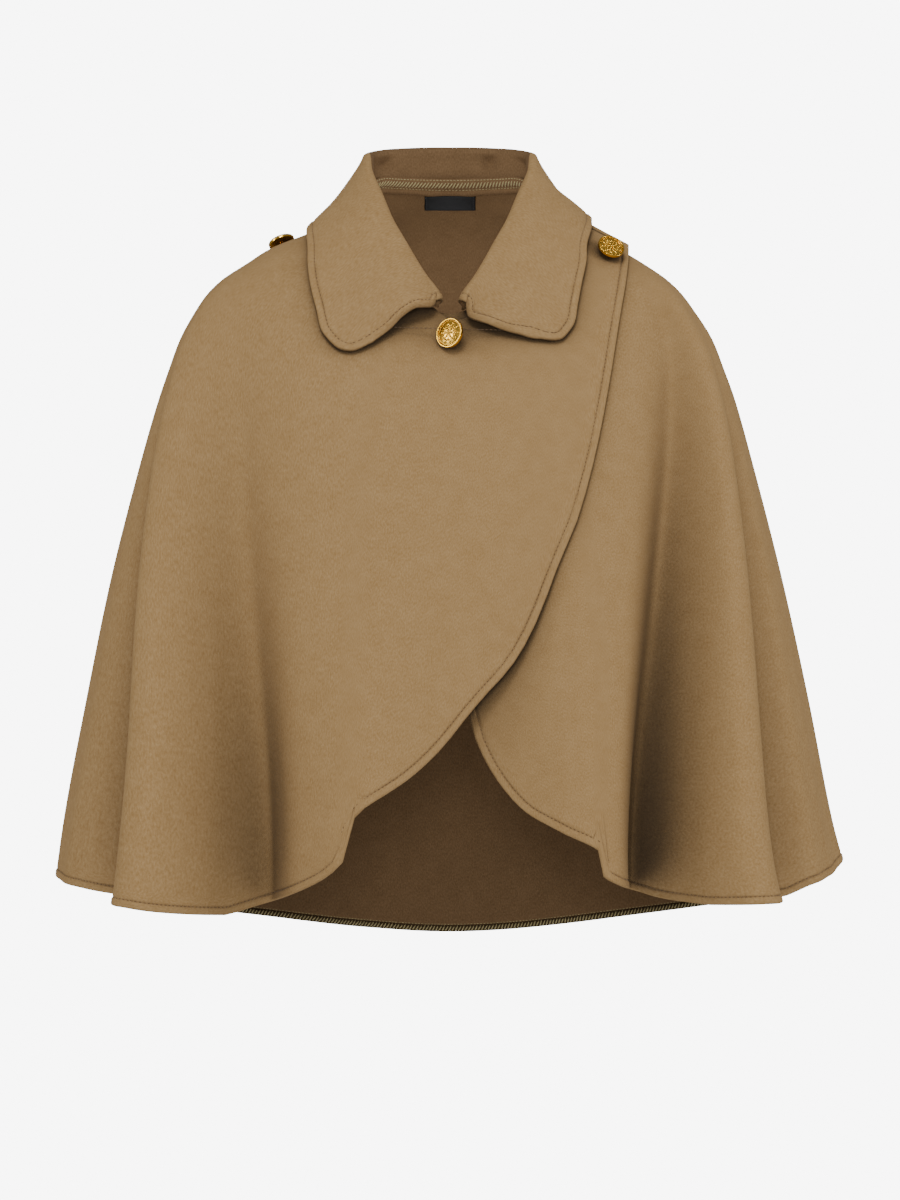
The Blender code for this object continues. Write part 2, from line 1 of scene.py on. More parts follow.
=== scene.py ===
"""Camel wool cape: wrapped front, turned-down collar, gilt shank buttons, hanging in its worn form.

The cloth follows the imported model's form at a finer size, with its turned edges, stitching, overlock
and nap. Tables and sizes are in millimetres in the model's frame: +Z up, the front faces -Y and the
wearer's left is +X. Angles go round the upright axis from the centre front, positive to the wearer's
left, and "down" runs from 0 at the neckline to 1 at the hem.
"""
import math

import bpy
import numpy as np
from mathutils import Matrix, Vector


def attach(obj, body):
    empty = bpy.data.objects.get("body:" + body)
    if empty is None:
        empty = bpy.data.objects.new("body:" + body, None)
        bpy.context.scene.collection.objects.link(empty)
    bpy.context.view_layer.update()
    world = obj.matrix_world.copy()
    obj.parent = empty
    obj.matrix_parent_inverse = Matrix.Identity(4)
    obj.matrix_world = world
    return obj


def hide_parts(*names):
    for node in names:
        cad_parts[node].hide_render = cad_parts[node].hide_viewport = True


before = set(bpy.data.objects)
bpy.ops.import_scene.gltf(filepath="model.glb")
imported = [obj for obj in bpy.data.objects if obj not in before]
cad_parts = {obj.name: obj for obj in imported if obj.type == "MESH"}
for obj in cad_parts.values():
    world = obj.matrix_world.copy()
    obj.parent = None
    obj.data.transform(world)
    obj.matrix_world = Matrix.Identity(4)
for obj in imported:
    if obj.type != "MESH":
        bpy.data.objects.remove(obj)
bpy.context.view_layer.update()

# Camera, backdrop and light.
# A level camera faces the cape's front from 3.2 m, and the frame is 900 x 1200. The cape hangs at
# shoulder height over a pale floor, in soft light from the front, from above and from both sides.
MM = 0.001
PIXEL = 0.78 * MM
VIEW_DISTANCE = 3200.0
VIEW_HEIGHT = -292.5
FRAME_HIGH = 1200
SENSOR = 36.0
STUDIO_WHITE = "#f5f5f5"
ROOM_LIGHT = 0.25
SEEN_WHITE = 8.6
FLOOR_BELOW = 1.35


def linear(code):
    """An sRGB hex colour as linear values, with alpha 1."""
    parts = [int(code[i : i + 2], 16) / 255.0 for i in (1, 3, 5)]
    return (*(p / 12.92 if p <= 0.04045 else ((p + 0.055) / 1.055) ** 2.4 for p in parts), 1.0)


def add_node(tree, kind, settings=None, links=None):
    """Adds a node. settings sets its properties, or its inputs where the key is one; links feeds inputs."""
    node = tree.nodes.new(kind)
    for key, value in (settings or {}).items():
        if isinstance(key, str) and hasattr(node, key):
            setattr(node, key, value)
        else:
            node.inputs[key].default_value = value
    for key, source in (links or {}).items():
        tree.links.new(source, node.inputs[key])
    return node


bpy.ops.object.select_all(action="DESELECT")
bpy.ops.object.camera_add(location=(0.0, -VIEW_DISTANCE * MM, VIEW_HEIGHT * MM),
                          rotation=(math.pi / 2.0, 0.0, 0.0))
camera = bpy.context.object
camera.name = "camera"
camera.data.sensor_width = SENSOR
camera.data.lens = SENSOR * VIEW_DISTANCE * MM / (FRAME_HIGH * PIXEL)
camera.data.clip_end = 30.0
bpy.context.scene.camera = camera

world = bpy.context.scene.world or bpy.data.worlds.new("studio")
bpy.context.scene.world = world
world.use_nodes = True
sky = world.node_tree.nodes["Background"]
sky.inputs["Color"].default_value = linear(STUDIO_WHITE)
sky.inputs["Strength"].default_value = ROOM_LIGHT
backdrop = add_node(world.node_tree, "ShaderNodeBackground",
                    {"Color": linear(STUDIO_WHITE), "Strength": SEEN_WHITE})
ray = add_node(world.node_tree, "ShaderNodeLightPath")
both = add_node(world.node_tree, "ShaderNodeMixShader", None, {
    0: ray.outputs["Is Camera Ray"], 1: sky.outputs["Background"], 2: backdrop.outputs["Background"],
})
world.node_tree.links.new(both.outputs["Shader"], world.node_tree.nodes["World Output"].inputs["Surface"])

bpy.ops.mesh.primitive_circle_add(vertices=96, radius=4.0, fill_type="NGON",
                                  location=(0.0, 0.0, -FLOOR_BELOW))
floor = bpy.context.object
floor.name = "studio_floor"
paint = bpy.data.materials.new("matt_floor_paint")
paint.use_nodes = True
coat = paint.node_tree.nodes["Principled BSDF"]
coat.inputs["Base Color"].default_value = linear(STUDIO_WHITE)
coat.inputs["Roughness"].default_value = 0.9
floor.data.materials.append(paint)

# Name, place, size and power of each soft box
for name, place, size, power in (
    ("left_softbox", (2.65, -0.96, 0.73), 0.8, 27.0),
    ("right_softbox", (-2.65, -0.96, 0.73), 0.8, 17.0),
    ("high_key", (-0.3, -2.12, 2.08), 0.8, 38.0),
    ("front_fill", (0.0, -3.38, 0.06), 0.6, 26.0),
):
    bpy.ops.object.light_add(type="AREA", location=place)
    lamp = bpy.context.object
    lamp.name = name
    lamp.data.size = size
    lamp.data.energy = power
    aim = Vector((0.0, 0.0, -0.3)) - Vector(place)
    lamp.rotation_euler = aim.to_track_quat("-Z", "Y").to_euler()

# A faint light inside the neck stands for what bounces about in there
bpy.ops.object.light_add(type="AREA", location=(0.0, -0.045, -0.10))
lamp = bpy.context.object
lamp.name = "neck_bounce"
lamp.data.size = 0.10
lamp.data.energy = 0.115
lamp.visible_camera = False
lamp.rotation_euler = Vector((0.0, 0.13, 0.09)).to_track_quat("-Z", "Y").to_euler()


# Wearer's right front.
# One large panel of heavy camel wool, cut in a curve from the left shoulder to the hem. Its free edge
# is turned to the back and held by one row of stitching, and its top corner is a flap that buttons
# on the left shoulder. The side seam joins it to the back.
CLOTH = 2.4
PANEL_GAP = 0.5
LAYER_STEP = 3.4
SIDE_SEAM_RIGHT = -87.0
SIDE_SEAM_LEFT = 94.0
FLAP_END = 88.0

# Upright outlines of the cloth: distance out from the axis, height
RIGHT_SIDE = (
    (74.0, 14.0), (85.0, 5.5), (97.0, -1.8), (109.0, -7.5), (140.0, -20.0), (158.0, -31.5), (176.5, -43.5),
    (188.5, -55.0), (196.5, -66.5), (209.5, -90.0), (218.0, -113.0), (226.0, -136.5),
    (239.5, -183.0), (263.5, -277.0), (282.5, -370.5), (300.0, -464.0), (306.0, -507.0),
)
LEFT_SIDE = (
    (74.0, 14.0), (85.0, 5.5), (97.0, -2.0), (109.0, -8.5), (138.0, -24.0), (153.5, -33.5), (168.0, -43.5),
    (180.0, -55.0), (188.5, -66.5), (203.5, -90.0), (212.5, -113.0), (221.0, -136.5),
    (234.0, -183.0), (258.0, -277.0), (278.5, -370.5), (297.0, -464.0), (305.0, -494.0),
)
FRONT_CENTRE = (
    (67.0, -74.0), (77.0, -90.0), (90.0, -112.0), (106.0, -145.0), (119.0, -185.0), (129.0, -225.0),
    (137.0, -270.0), (146.0, -335.0), (155.0, -410.0), (163.0, -480.0), (170.0, -545.0),
)
BACK_CENTRE = (
    (60.0, 39.0), (76.0, 21.5), (97.0, -12.0), (112.0, -58.0), (121.0, -110.0), (128.0, -175.0),
    (137.0, -260.0), (148.0, -345.0), (161.0, -430.0), (175.0, -510.0), (185.0, -566.0),
)
RING_HEIGHT_POWER = 2.4
BACK_NECK_LEVEL = 0.75

# Height of the hem round the body: angle, height
HEM = (
    (-210.0, -551.0), (-180.0, -566.0), (-150.0, -551.0), (-125.0, -530.0), (-105.0, -513.0), (-90.0, -507.0),
    (-68.0, -512.0), (-57.0, -517.0), (-43.0, -520.0), (-36.0, -528.0), (0.0, -545.0),
    (20.0, -536.0), (33.0, -523.0), (43.0, -518.0), (58.0, -518.0), (65.0, -509.0),
    (77.0, -502.0), (88.0, -495.0), (105.0, -503.0), (125.0, -527.0), (150.0, -550.0),
    (180.0, -566.0), (210.0, -551.0),
)
HEM_POWER = 3.0

# The cloth hangs in columns: angle at the hem, angle near the neck
COLUMN_TOPS = (
    (-208.0, -220.0), (-180.0, -180.0), (-155.0, -143.0), (-139.0, -122.0), (-112.0, -104.0), (-90.0, -90.0),
    (-56.0, -85.0), (-43.0, -78.5), (-31.5, -59.5), (-13.0, -19.0), (0.0, 0.0), (20.5, 39.0),
    (33.0, 70.0), (43.0, 75.5), (56.0, 85.0), (90.0, 90.0), (110.0, 102.0), (137.0, 120.0),
    (152.0, 140.0), (180.0, 180.0), (208.0, 220.0),
)
TURN_START = 0.14
TURN_POWER = 1.7

# Folds: angle at the hem, half-width towards the centre front and away from it, height at the
# hem, where it starts and how it grows. The last rows are the cloth's soft, shallow waves
FOLDS = (
    (-43.0, 14.0, 11.0, 52.0, 0.14, 0.9),
    (-32.0, 13.0, 9.5, -43.0, 0.20, 0.9),
    (-56.0, 8.0, 11.0, -12.0, 0.26, 1.0),
    (-13.3, 9.0, 8.0, 18.0, 0.45, 1.3),
    (20.5, 14.0, 10.5, 26.0, 0.20, 1.1),
    (32.0, 9.0, 9.0, -44.0, 0.18, 0.8),
    (43.0, 11.5, 11.0, 46.0, 0.14, 0.9),
    (56.0, 8.0, 11.0, -10.0, 0.26, 1.0),
    (112.0, 14.0, 12.0, -12.0, 0.30, 1.0),
    (137.0, 14.0, 15.0, 36.0, 0.20, 1.0),
    (156.0, 12.0, 12.0, -11.0, 0.32, 1.1),
    (-113.0, 13.0, 12.0, -11.0, 0.30, 1.0),
    (-139.0, 15.0, 14.0, 40.0, 0.18, 1.0),
    (-158.0, 11.0, 12.0, -10.0, 0.36, 1.2),
    (-72.0, 6.0, 7.0, 2.4, 0.30, 1.0),
    (-36.5, 4.0, 3.5, -2.2, 0.35, 0.9),
    (-22.0, 5.0, 5.0, 2.0, 0.40, 1.2),
    (-6.0, 6.0, 5.0, -1.8, 0.30, 1.0),
    (7.0, 5.0, 6.0, 1.6, 0.25, 1.0),
    (37.5, 3.0, 3.0, -1.6, 0.30, 0.9),
    (66.0, 6.0, 7.0, 2.2, 0.28, 1.0),
    (79.0, 6.0, 6.0, -1.8, 0.35, 1.1),
    (101.0, 6.0, 5.0, 1.8, 0.30, 1.0),
    (124.0, 5.0, 6.0, 2.2, 0.34, 1.0),
    (147.0, 5.0, 5.0, 1.9, 0.30, 1.0),
    (168.0, 8.0, 6.0, -2.0, 0.25, 1.0),
    (-101.0, 5.0, 6.0, 2.0, 0.32, 1.0),
    (-126.0, 5.0, 5.0, -2.0, 0.36, 1.1),
    (-149.0, 5.0, 6.0, 2.1, 0.30, 1.0),
    (-170.0, 6.0, 7.0, 1.8, 0.28, 1.0),
)

# The flap's and the right front's free edge in the front view: across, height
RIGHT_FRONT_EDGE = (
    (139.6, 10.0), (139.2, -24.2), (137.7, -40.6), (132.2, -74.1), (124.4, -123.2), (114.3, -175.5),
    (99.5, -230.1), (86.2, -261.3), (74.5, -292.5), (62.8, -319.8), (47.2, -345.5),
    (31.6, -362.7), (16.0, -380.6), (-7.4, -409.5), (-30.8, -431.3), (-50.3, -444.6),
    (-68.3, -456.3), (-76.0, -465.7), (-77.6, -475.8), (-78.4, -489.0), (-85.4, -499.2),
    (-97.1, -509.3), (-124.4, -522.6), (-154.0, -532.0), (-182.0, -539.8), (-250.0, -545.0),
)
FLAP_TOP = 0.019
OVERLAP_COLUMNS = (-36.0, -13.0)
CORNER_LIFT = 3.2
LOW_LIFT = 3.0

# Distances from an edge at which the mesh has a row: round the edge, across the turned band, and
# over the groove of the stitching
EDGE_STEPS = (0.0, 0.12, 0.5, 1.1, 1.9, 3.2, 4.4, 5.2, 5.7, 6.1, 6.5, 7.1, 8.2, 10.5, 14.0)
SEAM_STEPS = (0.0, 0.12, 0.5, 1.1, 2.0, 3.4, 5.4)
TOP_STEPS = SEAM_STEPS[:5]
STITCH_IN = 5.9
BAND_SWELL = 0.5
GROOVE_DEPTH = 0.55
PUCKER = 0.22
RIGHT_FRONT_MESH = (150, 96)
FOLD_COLUMNS = 0.03
ROW_POWER = 1.3


def eased(low, high, value):
    """0 below low, 1 above high, and a smooth rise between."""
    t = np.clip((value - low) / (high - low), 0.0, 1.0)
    return t * t * (3.0 - 2.0 * t)


def smooth_curve(at, values):
    """A smooth curve through the points, with no overshoot."""
    at = np.asarray(at, float)
    values = np.asarray(values, float)
    steps = np.diff(at)
    slopes = np.diff(values) / steps
    tangent = np.empty_like(values)
    tangent[0] = slopes[0]
    tangent[-1] = slopes[-1]
    same_way = slopes[:-1] * slopes[1:] > 0.0
    mean = 2.0 * slopes[:-1] * slopes[1:] / np.where(same_way, slopes[:-1] + slopes[1:], 1.0)
    tangent[1:-1] = np.where(same_way, mean, 0.0)

    def read(where):
        where = np.clip(where, at[0], at[-1])
        i = np.clip(np.searchsorted(at, where, side="right") - 1, 0, len(steps) - 1)
        t = (where - at[i]) / steps[i]
        start = (1.0 + 2.0 * t) * (1.0 - t) ** 2 * values[i] + t * (1.0 - t) ** 2 * steps[i] * tangent[i]
        end = t * t * (3.0 - 2.0 * t) * values[i + 1] + t * t * (t - 1.0) * steps[i] * tangent[i + 1]
        return start + end

    return read


def outline(rows):
    """Distance out and height along an upright outline, read by the share of its length."""
    rows = np.array(rows)
    length = np.concatenate([[0.0], np.cumsum(np.hypot(*np.diff(rows, axis=0).T))])
    share = length / length[-1]
    return smooth_curve(share, rows[:, 0]), smooth_curve(share, rows[:, 1])


right_out, right_height = outline(RIGHT_SIDE)
left_out, left_height = outline(LEFT_SIDE)
front_out, front_height = outline(FRONT_CENTRE)
back_out, back_height = outline(BACK_CENTRE)
hem_height = smooth_curve(*zip(*HEM))
top_angle = smooth_curve(*zip(*COLUMN_TOPS))


def turned(angle):
    """The same angle between -180 and 180."""
    return (np.asarray(angle, float) + 180.0) % 360.0 - 180.0


def column_angle(column, down):
    """The angle at which a column of cloth lies, this far down."""
    share = np.minimum(1.0, (1.0 - np.clip(down, 0.0, 1.0)) / (1.0 - TURN_START)) ** TURN_POWER
    return column + (top_angle(column) - column) * share


def column_at_neck(angle):
    """The column whose top lies at this angle."""
    columns = np.linspace(-180.0, 180.0, 1441)
    return np.interp(turned(angle), column_angle(columns, 0.0), columns)


def fold_depth(column, down):
    """How far the folds push the cloth out from the plain form."""
    depth = 0.0
    for middle, inner, outer, height, start, power in FOLDS:
        away = turned(column - middle) * np.sign(middle)
        share = np.abs(away) / np.where(away < 0.0, inner, outer)
        bump = 0.5 + 0.5 * np.cos(np.pi * np.clip(share, 0.0, 1.0))
        grown = np.clip((down - start) / (1.0 - start), 0.0, None) ** power
        depth = depth + height * grown * bump
    return depth


def cape_point(column, down, sink=0.0):
    """A point of the cloth's middle surface. sink pulls it straight in."""
    column = turned(column)
    down = np.asarray(down, float)
    angle = np.radians(column_angle(column, down))
    across = np.sin(angle)
    ahead = np.cos(angle)
    side_out = np.where(across < 0.0, right_out(down), left_out(down))
    side_height = np.where(across < 0.0, right_height(down), left_height(down))
    end_out = np.where(ahead > 0.0, front_out(down), back_out(down))
    end_height = np.where(ahead > 0.0, front_height(down), back_height(down))
    share = np.abs(ahead) ** RING_HEIGHT_POWER
    level_neck = eased(0.0, BACK_NECK_LEVEL, -ahead) * (1.0 - eased(0.0, 0.12, down))
    share = np.maximum(share, level_neck)
    side_hem = np.where(across < 0.0, RIGHT_SIDE[-1][1], LEFT_SIDE[-1][1])
    end_hem = np.where(ahead > 0.0, FRONT_CENTRE[-1][1], BACK_CENTRE[-1][1])
    plain_hem = side_hem + (end_hem - side_hem) * share
    height = side_height + (end_height - side_height) * share
    height = height + (hem_height(column) - plain_hem) * down**HEM_POWER
    push = fold_depth(column, down) - sink
    return np.stack([(side_out + push) * across, -(end_out + push) * ahead, height], axis=-1)


def cape_normal(column, down):
    """The outward direction of the cloth."""
    turn = 0.2
    step = 0.002
    above = np.clip(np.asarray(down, float) - step, 0.0, 1.0)
    below = np.clip(np.asarray(down, float) + step, 0.0, 1.0)
    round_way = cape_point(column + turn, down) - cape_point(column - turn, down)
    down_way = cape_point(column, below) - cape_point(column, above)
    normal = np.cross(down_way, round_way)
    return normal / np.linalg.norm(normal, axis=-1, keepdims=True)


def lifted(column, down, lift, sink=0.0):
    """A point of the cloth moved out by lift."""
    return cape_point(column, down, sink) + cape_normal(column, down) * np.asarray(lift)[..., None]


def front_view(points):
    """Where points are seen from the front, across and up."""
    nearer = VIEW_DISTANCE / (VIEW_DISTANCE + points[..., 1])
    return points[..., 0] * nearer, VIEW_HEIGHT + (points[..., 2] - VIEW_HEIGHT) * nearer


def overlap_lift(column, down):
    """How far the right front lies out of the plain form where it passes over the left front."""
    over = eased(*OVERLAP_COLUMNS, column)
    corner = CORNER_LIFT * eased(50.0, FLAP_END, column)
    low = LOW_LIFT * eased(0.35, 0.75, down)
    return over * (LAYER_STEP + corner + low)


def flat_zero(column, down):
    return 0.0 * column * down


def edge_down(columns, edge, side, lift_of, sink_of):
    """How far down each column of cloth is cut off by an edge that is given in the front view."""
    edge = np.array(edge)
    at = smooth_curve(-edge[:, 1], edge[:, 0])
    downs = np.linspace(0.0, 1.0, 801)
    cut = np.ones(len(columns))
    for i, name in enumerate(columns):
        column = np.full_like(downs, name)
        points = lifted(column, downs, lift_of(column, downs), sink_of(column, downs))
        across, height = front_view(points)
        past = np.where(height > edge[0, 1], -1.0, side * (across - at(-height)))
        crossed = np.nonzero((past[:-1] < 0.0) & (past[1:] >= 0.0))[0]
        if len(crossed):
            k = crossed[-1] if past[-1] > 0.0 else crossed[0]
            cut[i] = downs[k] + (downs[1] - downs[0]) * past[k] / (past[k] - past[k + 1])
    return cut


def column_names(first, last, count):
    """Columns from first to last, closer together where the tall folds are."""
    fine = np.linspace(first, last, 4001)
    weight = np.ones_like(fine)
    for middle, inner, outer, height, _, _ in FOLDS:
        near = np.clip(1.0 - np.abs(turned(fine - middle)) / max(inner, outer), 0.0, 1.0)
        weight += FOLD_COLUMNS * abs(height) * near
    passed = np.concatenate([[0.0], np.cumsum(0.5 * (weight[1:] + weight[:-1]))])
    return np.interp(np.linspace(0.0, passed[-1], count), passed, fine)


def rows_between(tops, ends, surface, names, rows, top_steps, end_steps):
    """Downs of a panel's rows: close rows by its top and its lower edge, and even ones between."""
    step = 0.004
    end_line = surface(names, ends)
    along = np.gradient(end_line, axis=0)
    along /= np.linalg.norm(along, axis=-1, keepdims=True)
    down_way = (end_line - surface(names, ends - step)) / step
    square = np.linalg.norm(np.cross(down_way, along), axis=-1)
    square = np.maximum(square, 0.3 * np.linalg.norm(down_way, axis=-1))
    top_way = np.linalg.norm(surface(names, tops + step) - surface(names, tops), axis=-1) / step
    above = tops + np.array(top_steps)[:, None] / top_way
    below = ends - np.array(end_steps[::-1])[:, None] / square
    between = np.linspace(0.0, 1.0, rows - len(top_steps) - len(end_steps) + 2)[1:-1, None] ** ROW_POWER
    middle = above[-1] + (below[0] - above[-1]) * between
    return np.concatenate([above, middle, below])


def beside(column, down, place, steps, way, gap):
    """Sets the first or last columns at true distances from a side edge that runs down one column."""
    per_degree = cape_point(0.0 * down + place + 0.5, down) - cape_point(0.0 * down + place - 0.5, down)
    per_degree = np.linalg.norm(per_degree, axis=-1)
    moved = column.copy()
    next_one = len(steps) if way > 0 else column.shape[1] - 1 - len(steps)
    room = np.abs(column[:, next_one] - place) * per_degree[:, next_one] - gap
    fitted = np.minimum(1.0, 0.85 * room / steps[-1])
    for j, step in enumerate(steps):
        index = j if way > 0 else column.shape[1] - 1 - j
        moved[:, index] = place + way * (gap + step * fitted) / per_degree[:, index]
    return moved


def with_sides(names, down, first, first_gap, last, last_gap):
    """The column and down of a panel's points, with close columns added by its two side edges."""
    added = (len(SEAM_STEPS), len(SEAM_STEPS))
    column = np.pad(names + 0.0 * down, ((0, 0), added))
    down = np.pad(down, ((0, 0), added), mode="edge")
    column = beside(column, down, first, SEAM_STEPS, 1, first_gap)
    return beside(column, down, last, SEAM_STEPS, -1, last_gap), down


def distance_to(points, line):
    """Distance of each point from an open line of points."""
    shape = points.shape[:-1]
    points = points.reshape(-1, 1, 3)
    start = line[:-1][None]
    run = (line[1:] - line[:-1])[None]
    t = np.sum((points - start) * run, -1) / np.maximum(np.sum(run * run, -1), 1e-9)
    nearest = start + np.clip(t, 0.0, 1.0)[..., None] * run
    return np.sqrt(np.min(np.sum((points - nearest) ** 2, -1), axis=1)).reshape(shape)


def grid_normal(grid):
    """Outward directions of a grid of points whose rows run down and columns run round."""
    normal = np.cross(np.gradient(grid, axis=0), np.gradient(grid, axis=1))
    return normal / np.maximum(np.linalg.norm(normal, axis=-1, keepdims=True), 1e-9)


def half_wall(grid, thickness, free, seams):
    """Half the cloth's thickness at each point. free and seams name the grid's sides of each kind."""
    sides = {"top": grid[0], "bottom": grid[-1], "first": grid[:, 0], "last": grid[:, -1]}
    to_free = np.full(grid.shape[:2], 1e3)
    to_seam = np.full(grid.shape[:2], 1e3)
    for name in free:
        to_free = np.minimum(to_free, distance_to(grid, sides[name]))
    for name in seams:
        to_seam = np.minimum(to_seam, distance_to(grid, sides[name]))
    half = 0.5 * thickness
    place = grid[..., 0] * 0.31 + grid[..., 1] * 0.23 + grid[..., 2] * 0.29
    gathered = 1.0 + PUCKER * np.sin(place) * np.sin(0.37 * place + 1.3)
    band = eased(STITCH_IN + 0.3, STITCH_IN - 1.2, to_free) * BAND_SWELL
    groove = np.exp(-(((to_free - STITCH_IN) / 0.75) ** 2)) * GROOVE_DEPTH
    wall = half + (band - groove) * gathered
    wall = wall - np.exp(-(to_seam / 2.2) ** 2) * 0.35
    edge = np.minimum(to_free, to_seam)
    round_off = np.sqrt(np.clip(1.0 - (1.0 - np.clip(edge / half, 0.0, 1.0)) ** 2, 0.0, 1.0))
    return wall * round_off, to_free


def cloth_shell(name, grid, half, materials, painted_shade_rows=0, painted_shade_from=1):
    """A closed wall round a grid of middle points, that narrows to nothing at the grid's sides.

    materials holds the outer and the inner face's. The outer face's first rows, but for some columns at
    either end, take the inner one, whose darker colour there is painted shade.
    """
    rows, columns = grid.shape[:2]
    normal = grid_normal(grid)
    rim = np.zeros((rows, columns), bool)
    rim[[0, -1], :] = True
    rim[:, [0, -1]] = True
    half = np.where(rim, 0.0, half)[..., None]
    outer = grid + normal * half
    inner = (grid - normal * half)[~rim]
    outer_index = np.arange(rows * columns).reshape(rows, columns)
    inner_index = outer_index.copy()
    inner_index[~rim] = rows * columns + np.arange(len(inner))
    faces = []
    for index, way in ((outer_index, (0, 1, 2, 3)), (inner_index, (3, 2, 1, 0))):
        corners = np.stack([index[:-1, :-1], index[1:, :-1], index[1:, 1:], index[:-1, 1:]], -1)
        faces.append(corners.reshape(-1, 4)[:, way])
    points = np.concatenate([outer.reshape(-1, 3), inner]) * MM
    mesh = bpy.data.meshes.new(name)
    mesh.from_pydata(points.tolist(), [], np.concatenate(faces).tolist())
    inside = np.concatenate([np.zeros(len(faces[0]), np.int32), np.ones(len(faces[1]), np.int32)])
    if painted_shade_rows:
        shaded = inside[: painted_shade_rows * (columns - 1)].reshape(painted_shade_rows, columns - 1)
        shaded[:, painted_shade_from:-painted_shade_from] = 1
    for material in materials:
        mesh.materials.append(material)
    mesh.polygons.foreach_set("material_index", inside)
    mesh.shade_smooth()
    run = np.concatenate([[0.0], np.cumsum(np.linalg.norm(np.diff(grid[rows // 2], axis=0), axis=-1))])
    fall = np.concatenate([[0.0], np.cumsum(np.linalg.norm(np.diff(grid[:, columns // 2], axis=0), axis=-1))])
    flat = np.stack(np.broadcast_arrays(run[None, :], -fall[:, None]), -1).reshape(-1, 2)
    flat = np.concatenate([flat, flat.reshape(rows, columns, 2)[~rim]]) * MM
    corner_point = np.empty(len(mesh.loops), np.int32)
    mesh.loops.foreach_get("vertex_index", corner_point)
    layer = mesh.uv_layers.new(name="cloth")
    layer.data.foreach_set("uv", flat[corner_point].astype(np.float32).ravel())
    piece = bpy.data.objects.new(name, mesh)
    bpy.context.scene.collection.objects.link(piece)
    return piece, outer, grid - normal * half


def edge_line(points, outward, to_edge, distance):
    """The line on the cloth at one distance in from the edge that lies along its last row."""
    line = []
    facing = []
    for j in range(to_edge.shape[1]):
        crossed = np.nonzero((to_edge[:-1, j] >= distance) & (to_edge[1:, j] < distance))[0]
        if len(crossed):
            i = crossed[-1]
            t = (to_edge[i, j] - distance) / (to_edge[i, j] - to_edge[i + 1, j])
            line.append(points[i, j] + (points[i + 1, j] - points[i, j]) * t)
            facing.append(outward[i, j])
    return np.array(line), np.array(facing)


def sewn(name, lines, length, pitch, thick, leans, sink, thread):
    """A row of stitches along each line. A stitch is a strand whose ends dive by sink into the cloth."""
    bpy.ops.object.select_all(action="DESELECT")
    bpy.ops.mesh.primitive_uv_sphere_add(segments=6, ring_count=5, radius=1.0)
    strand = bpy.context.object
    ball = np.array([tuple(vertex.co) for vertex in strand.data.vertices])
    ball_faces = [tuple(face.vertices) for face in strand.data.polygons]
    bpy.data.objects.remove(strand, do_unlink=True)
    along = ball[:, 2]
    dive = sink * along**2
    shape = np.stack([0.5 * length * along, 0.5 * thick * ball[:, 0], 0.5 * thick * ball[:, 1] - dive], -1)
    chance = np.random.default_rng(11)
    points = []
    faces = []
    for line, outward in lines:
        passed = np.concatenate([[0.0], np.cumsum(np.linalg.norm(np.diff(line, axis=0), axis=-1))])
        ways = np.gradient(line, axis=0)
        for count, at in enumerate(np.arange(0.5 * pitch, passed[-1] - 0.4 * pitch, pitch)):
            place, way, out = (
                np.array([np.interp(at, passed, rows[:, k]) for k in range(3)])
                for rows in (line, ways, outward)
            )
            out /= np.linalg.norm(out)
            way -= out * np.dot(way, out)
            way /= np.linalg.norm(way)
            lean = math.radians(leans[count % len(leans)] + chance.normal(0.0, 2.5))
            run = way * math.cos(lean) + np.cross(out, way) * math.sin(lean)
            start = len(points) * len(ball)
            points.append(place + shape @ np.array([run, np.cross(out, run), out]))
            faces.extend(tuple(start + corner for corner in face) for face in ball_faces)
    mesh = bpy.data.meshes.new(name)
    mesh.from_pydata((np.concatenate(points) * MM).tolist(), [], faces)
    mesh.materials.append(thread)
    mesh.shade_smooth()
    piece = bpy.data.objects.new(name, mesh)
    bpy.context.scene.collection.objects.link(piece)
    return piece


def spun_thread(name, colour):
    """Spun sewing thread: matt and a little fuzzy, darker between its fibres."""
    made = bpy.data.materials.new(name)
    made.use_nodes = True
    tree = made.node_tree
    shader = tree.nodes["Principled BSDF"]
    shader.inputs["Roughness"].default_value = 0.75
    shader.inputs["Specular IOR Level"].default_value = 0.3
    shader.inputs["Sheen Weight"].default_value = 0.2
    place = add_node(tree, "ShaderNodeTexCoord")
    fibre = add_node(tree, "ShaderNodeTexNoise", {"Scale": 1.0 / (0.5 * MM), "Detail": 2.0},
                     {"Vector": place.outputs["Object"]})
    tone = add_node(tree, "ShaderNodeValToRGB", None, {"Fac": fibre.outputs["Fac"]})
    tone.color_ramp.elements[0].position = 0.3
    tone.color_ramp.elements[0].color = tuple(0.6 * c for c in linear(colour)[:3]) + (1.0,)
    tone.color_ramp.elements[1].position = 0.6
    tone.color_ramp.elements[1].color = linear(colour)
    tree.links.new(tone.outputs["Color"], shader.inputs["Base Color"])
    return made


# A kind of stitching: a strand's length, pitch, thickness, leans, and how far its ends dive
TOPSTITCH = (2.7, 3.3, 0.6, (0.0,), 0.3)
NAP_LENGTH = 1.1 * MM
MOTTLE = 11.0 * MM
# Painted shade in the folds: how far the test for open air reaches, the openness over which the shade fades
# out, and the dark brown it is painted towards
FOLD_SHADE_REACH = 130.0 * MM
FOLD_SHADE_OPEN = (0.52, 0.93)
PAINTED_FOLD_BROWN = "#33291f"


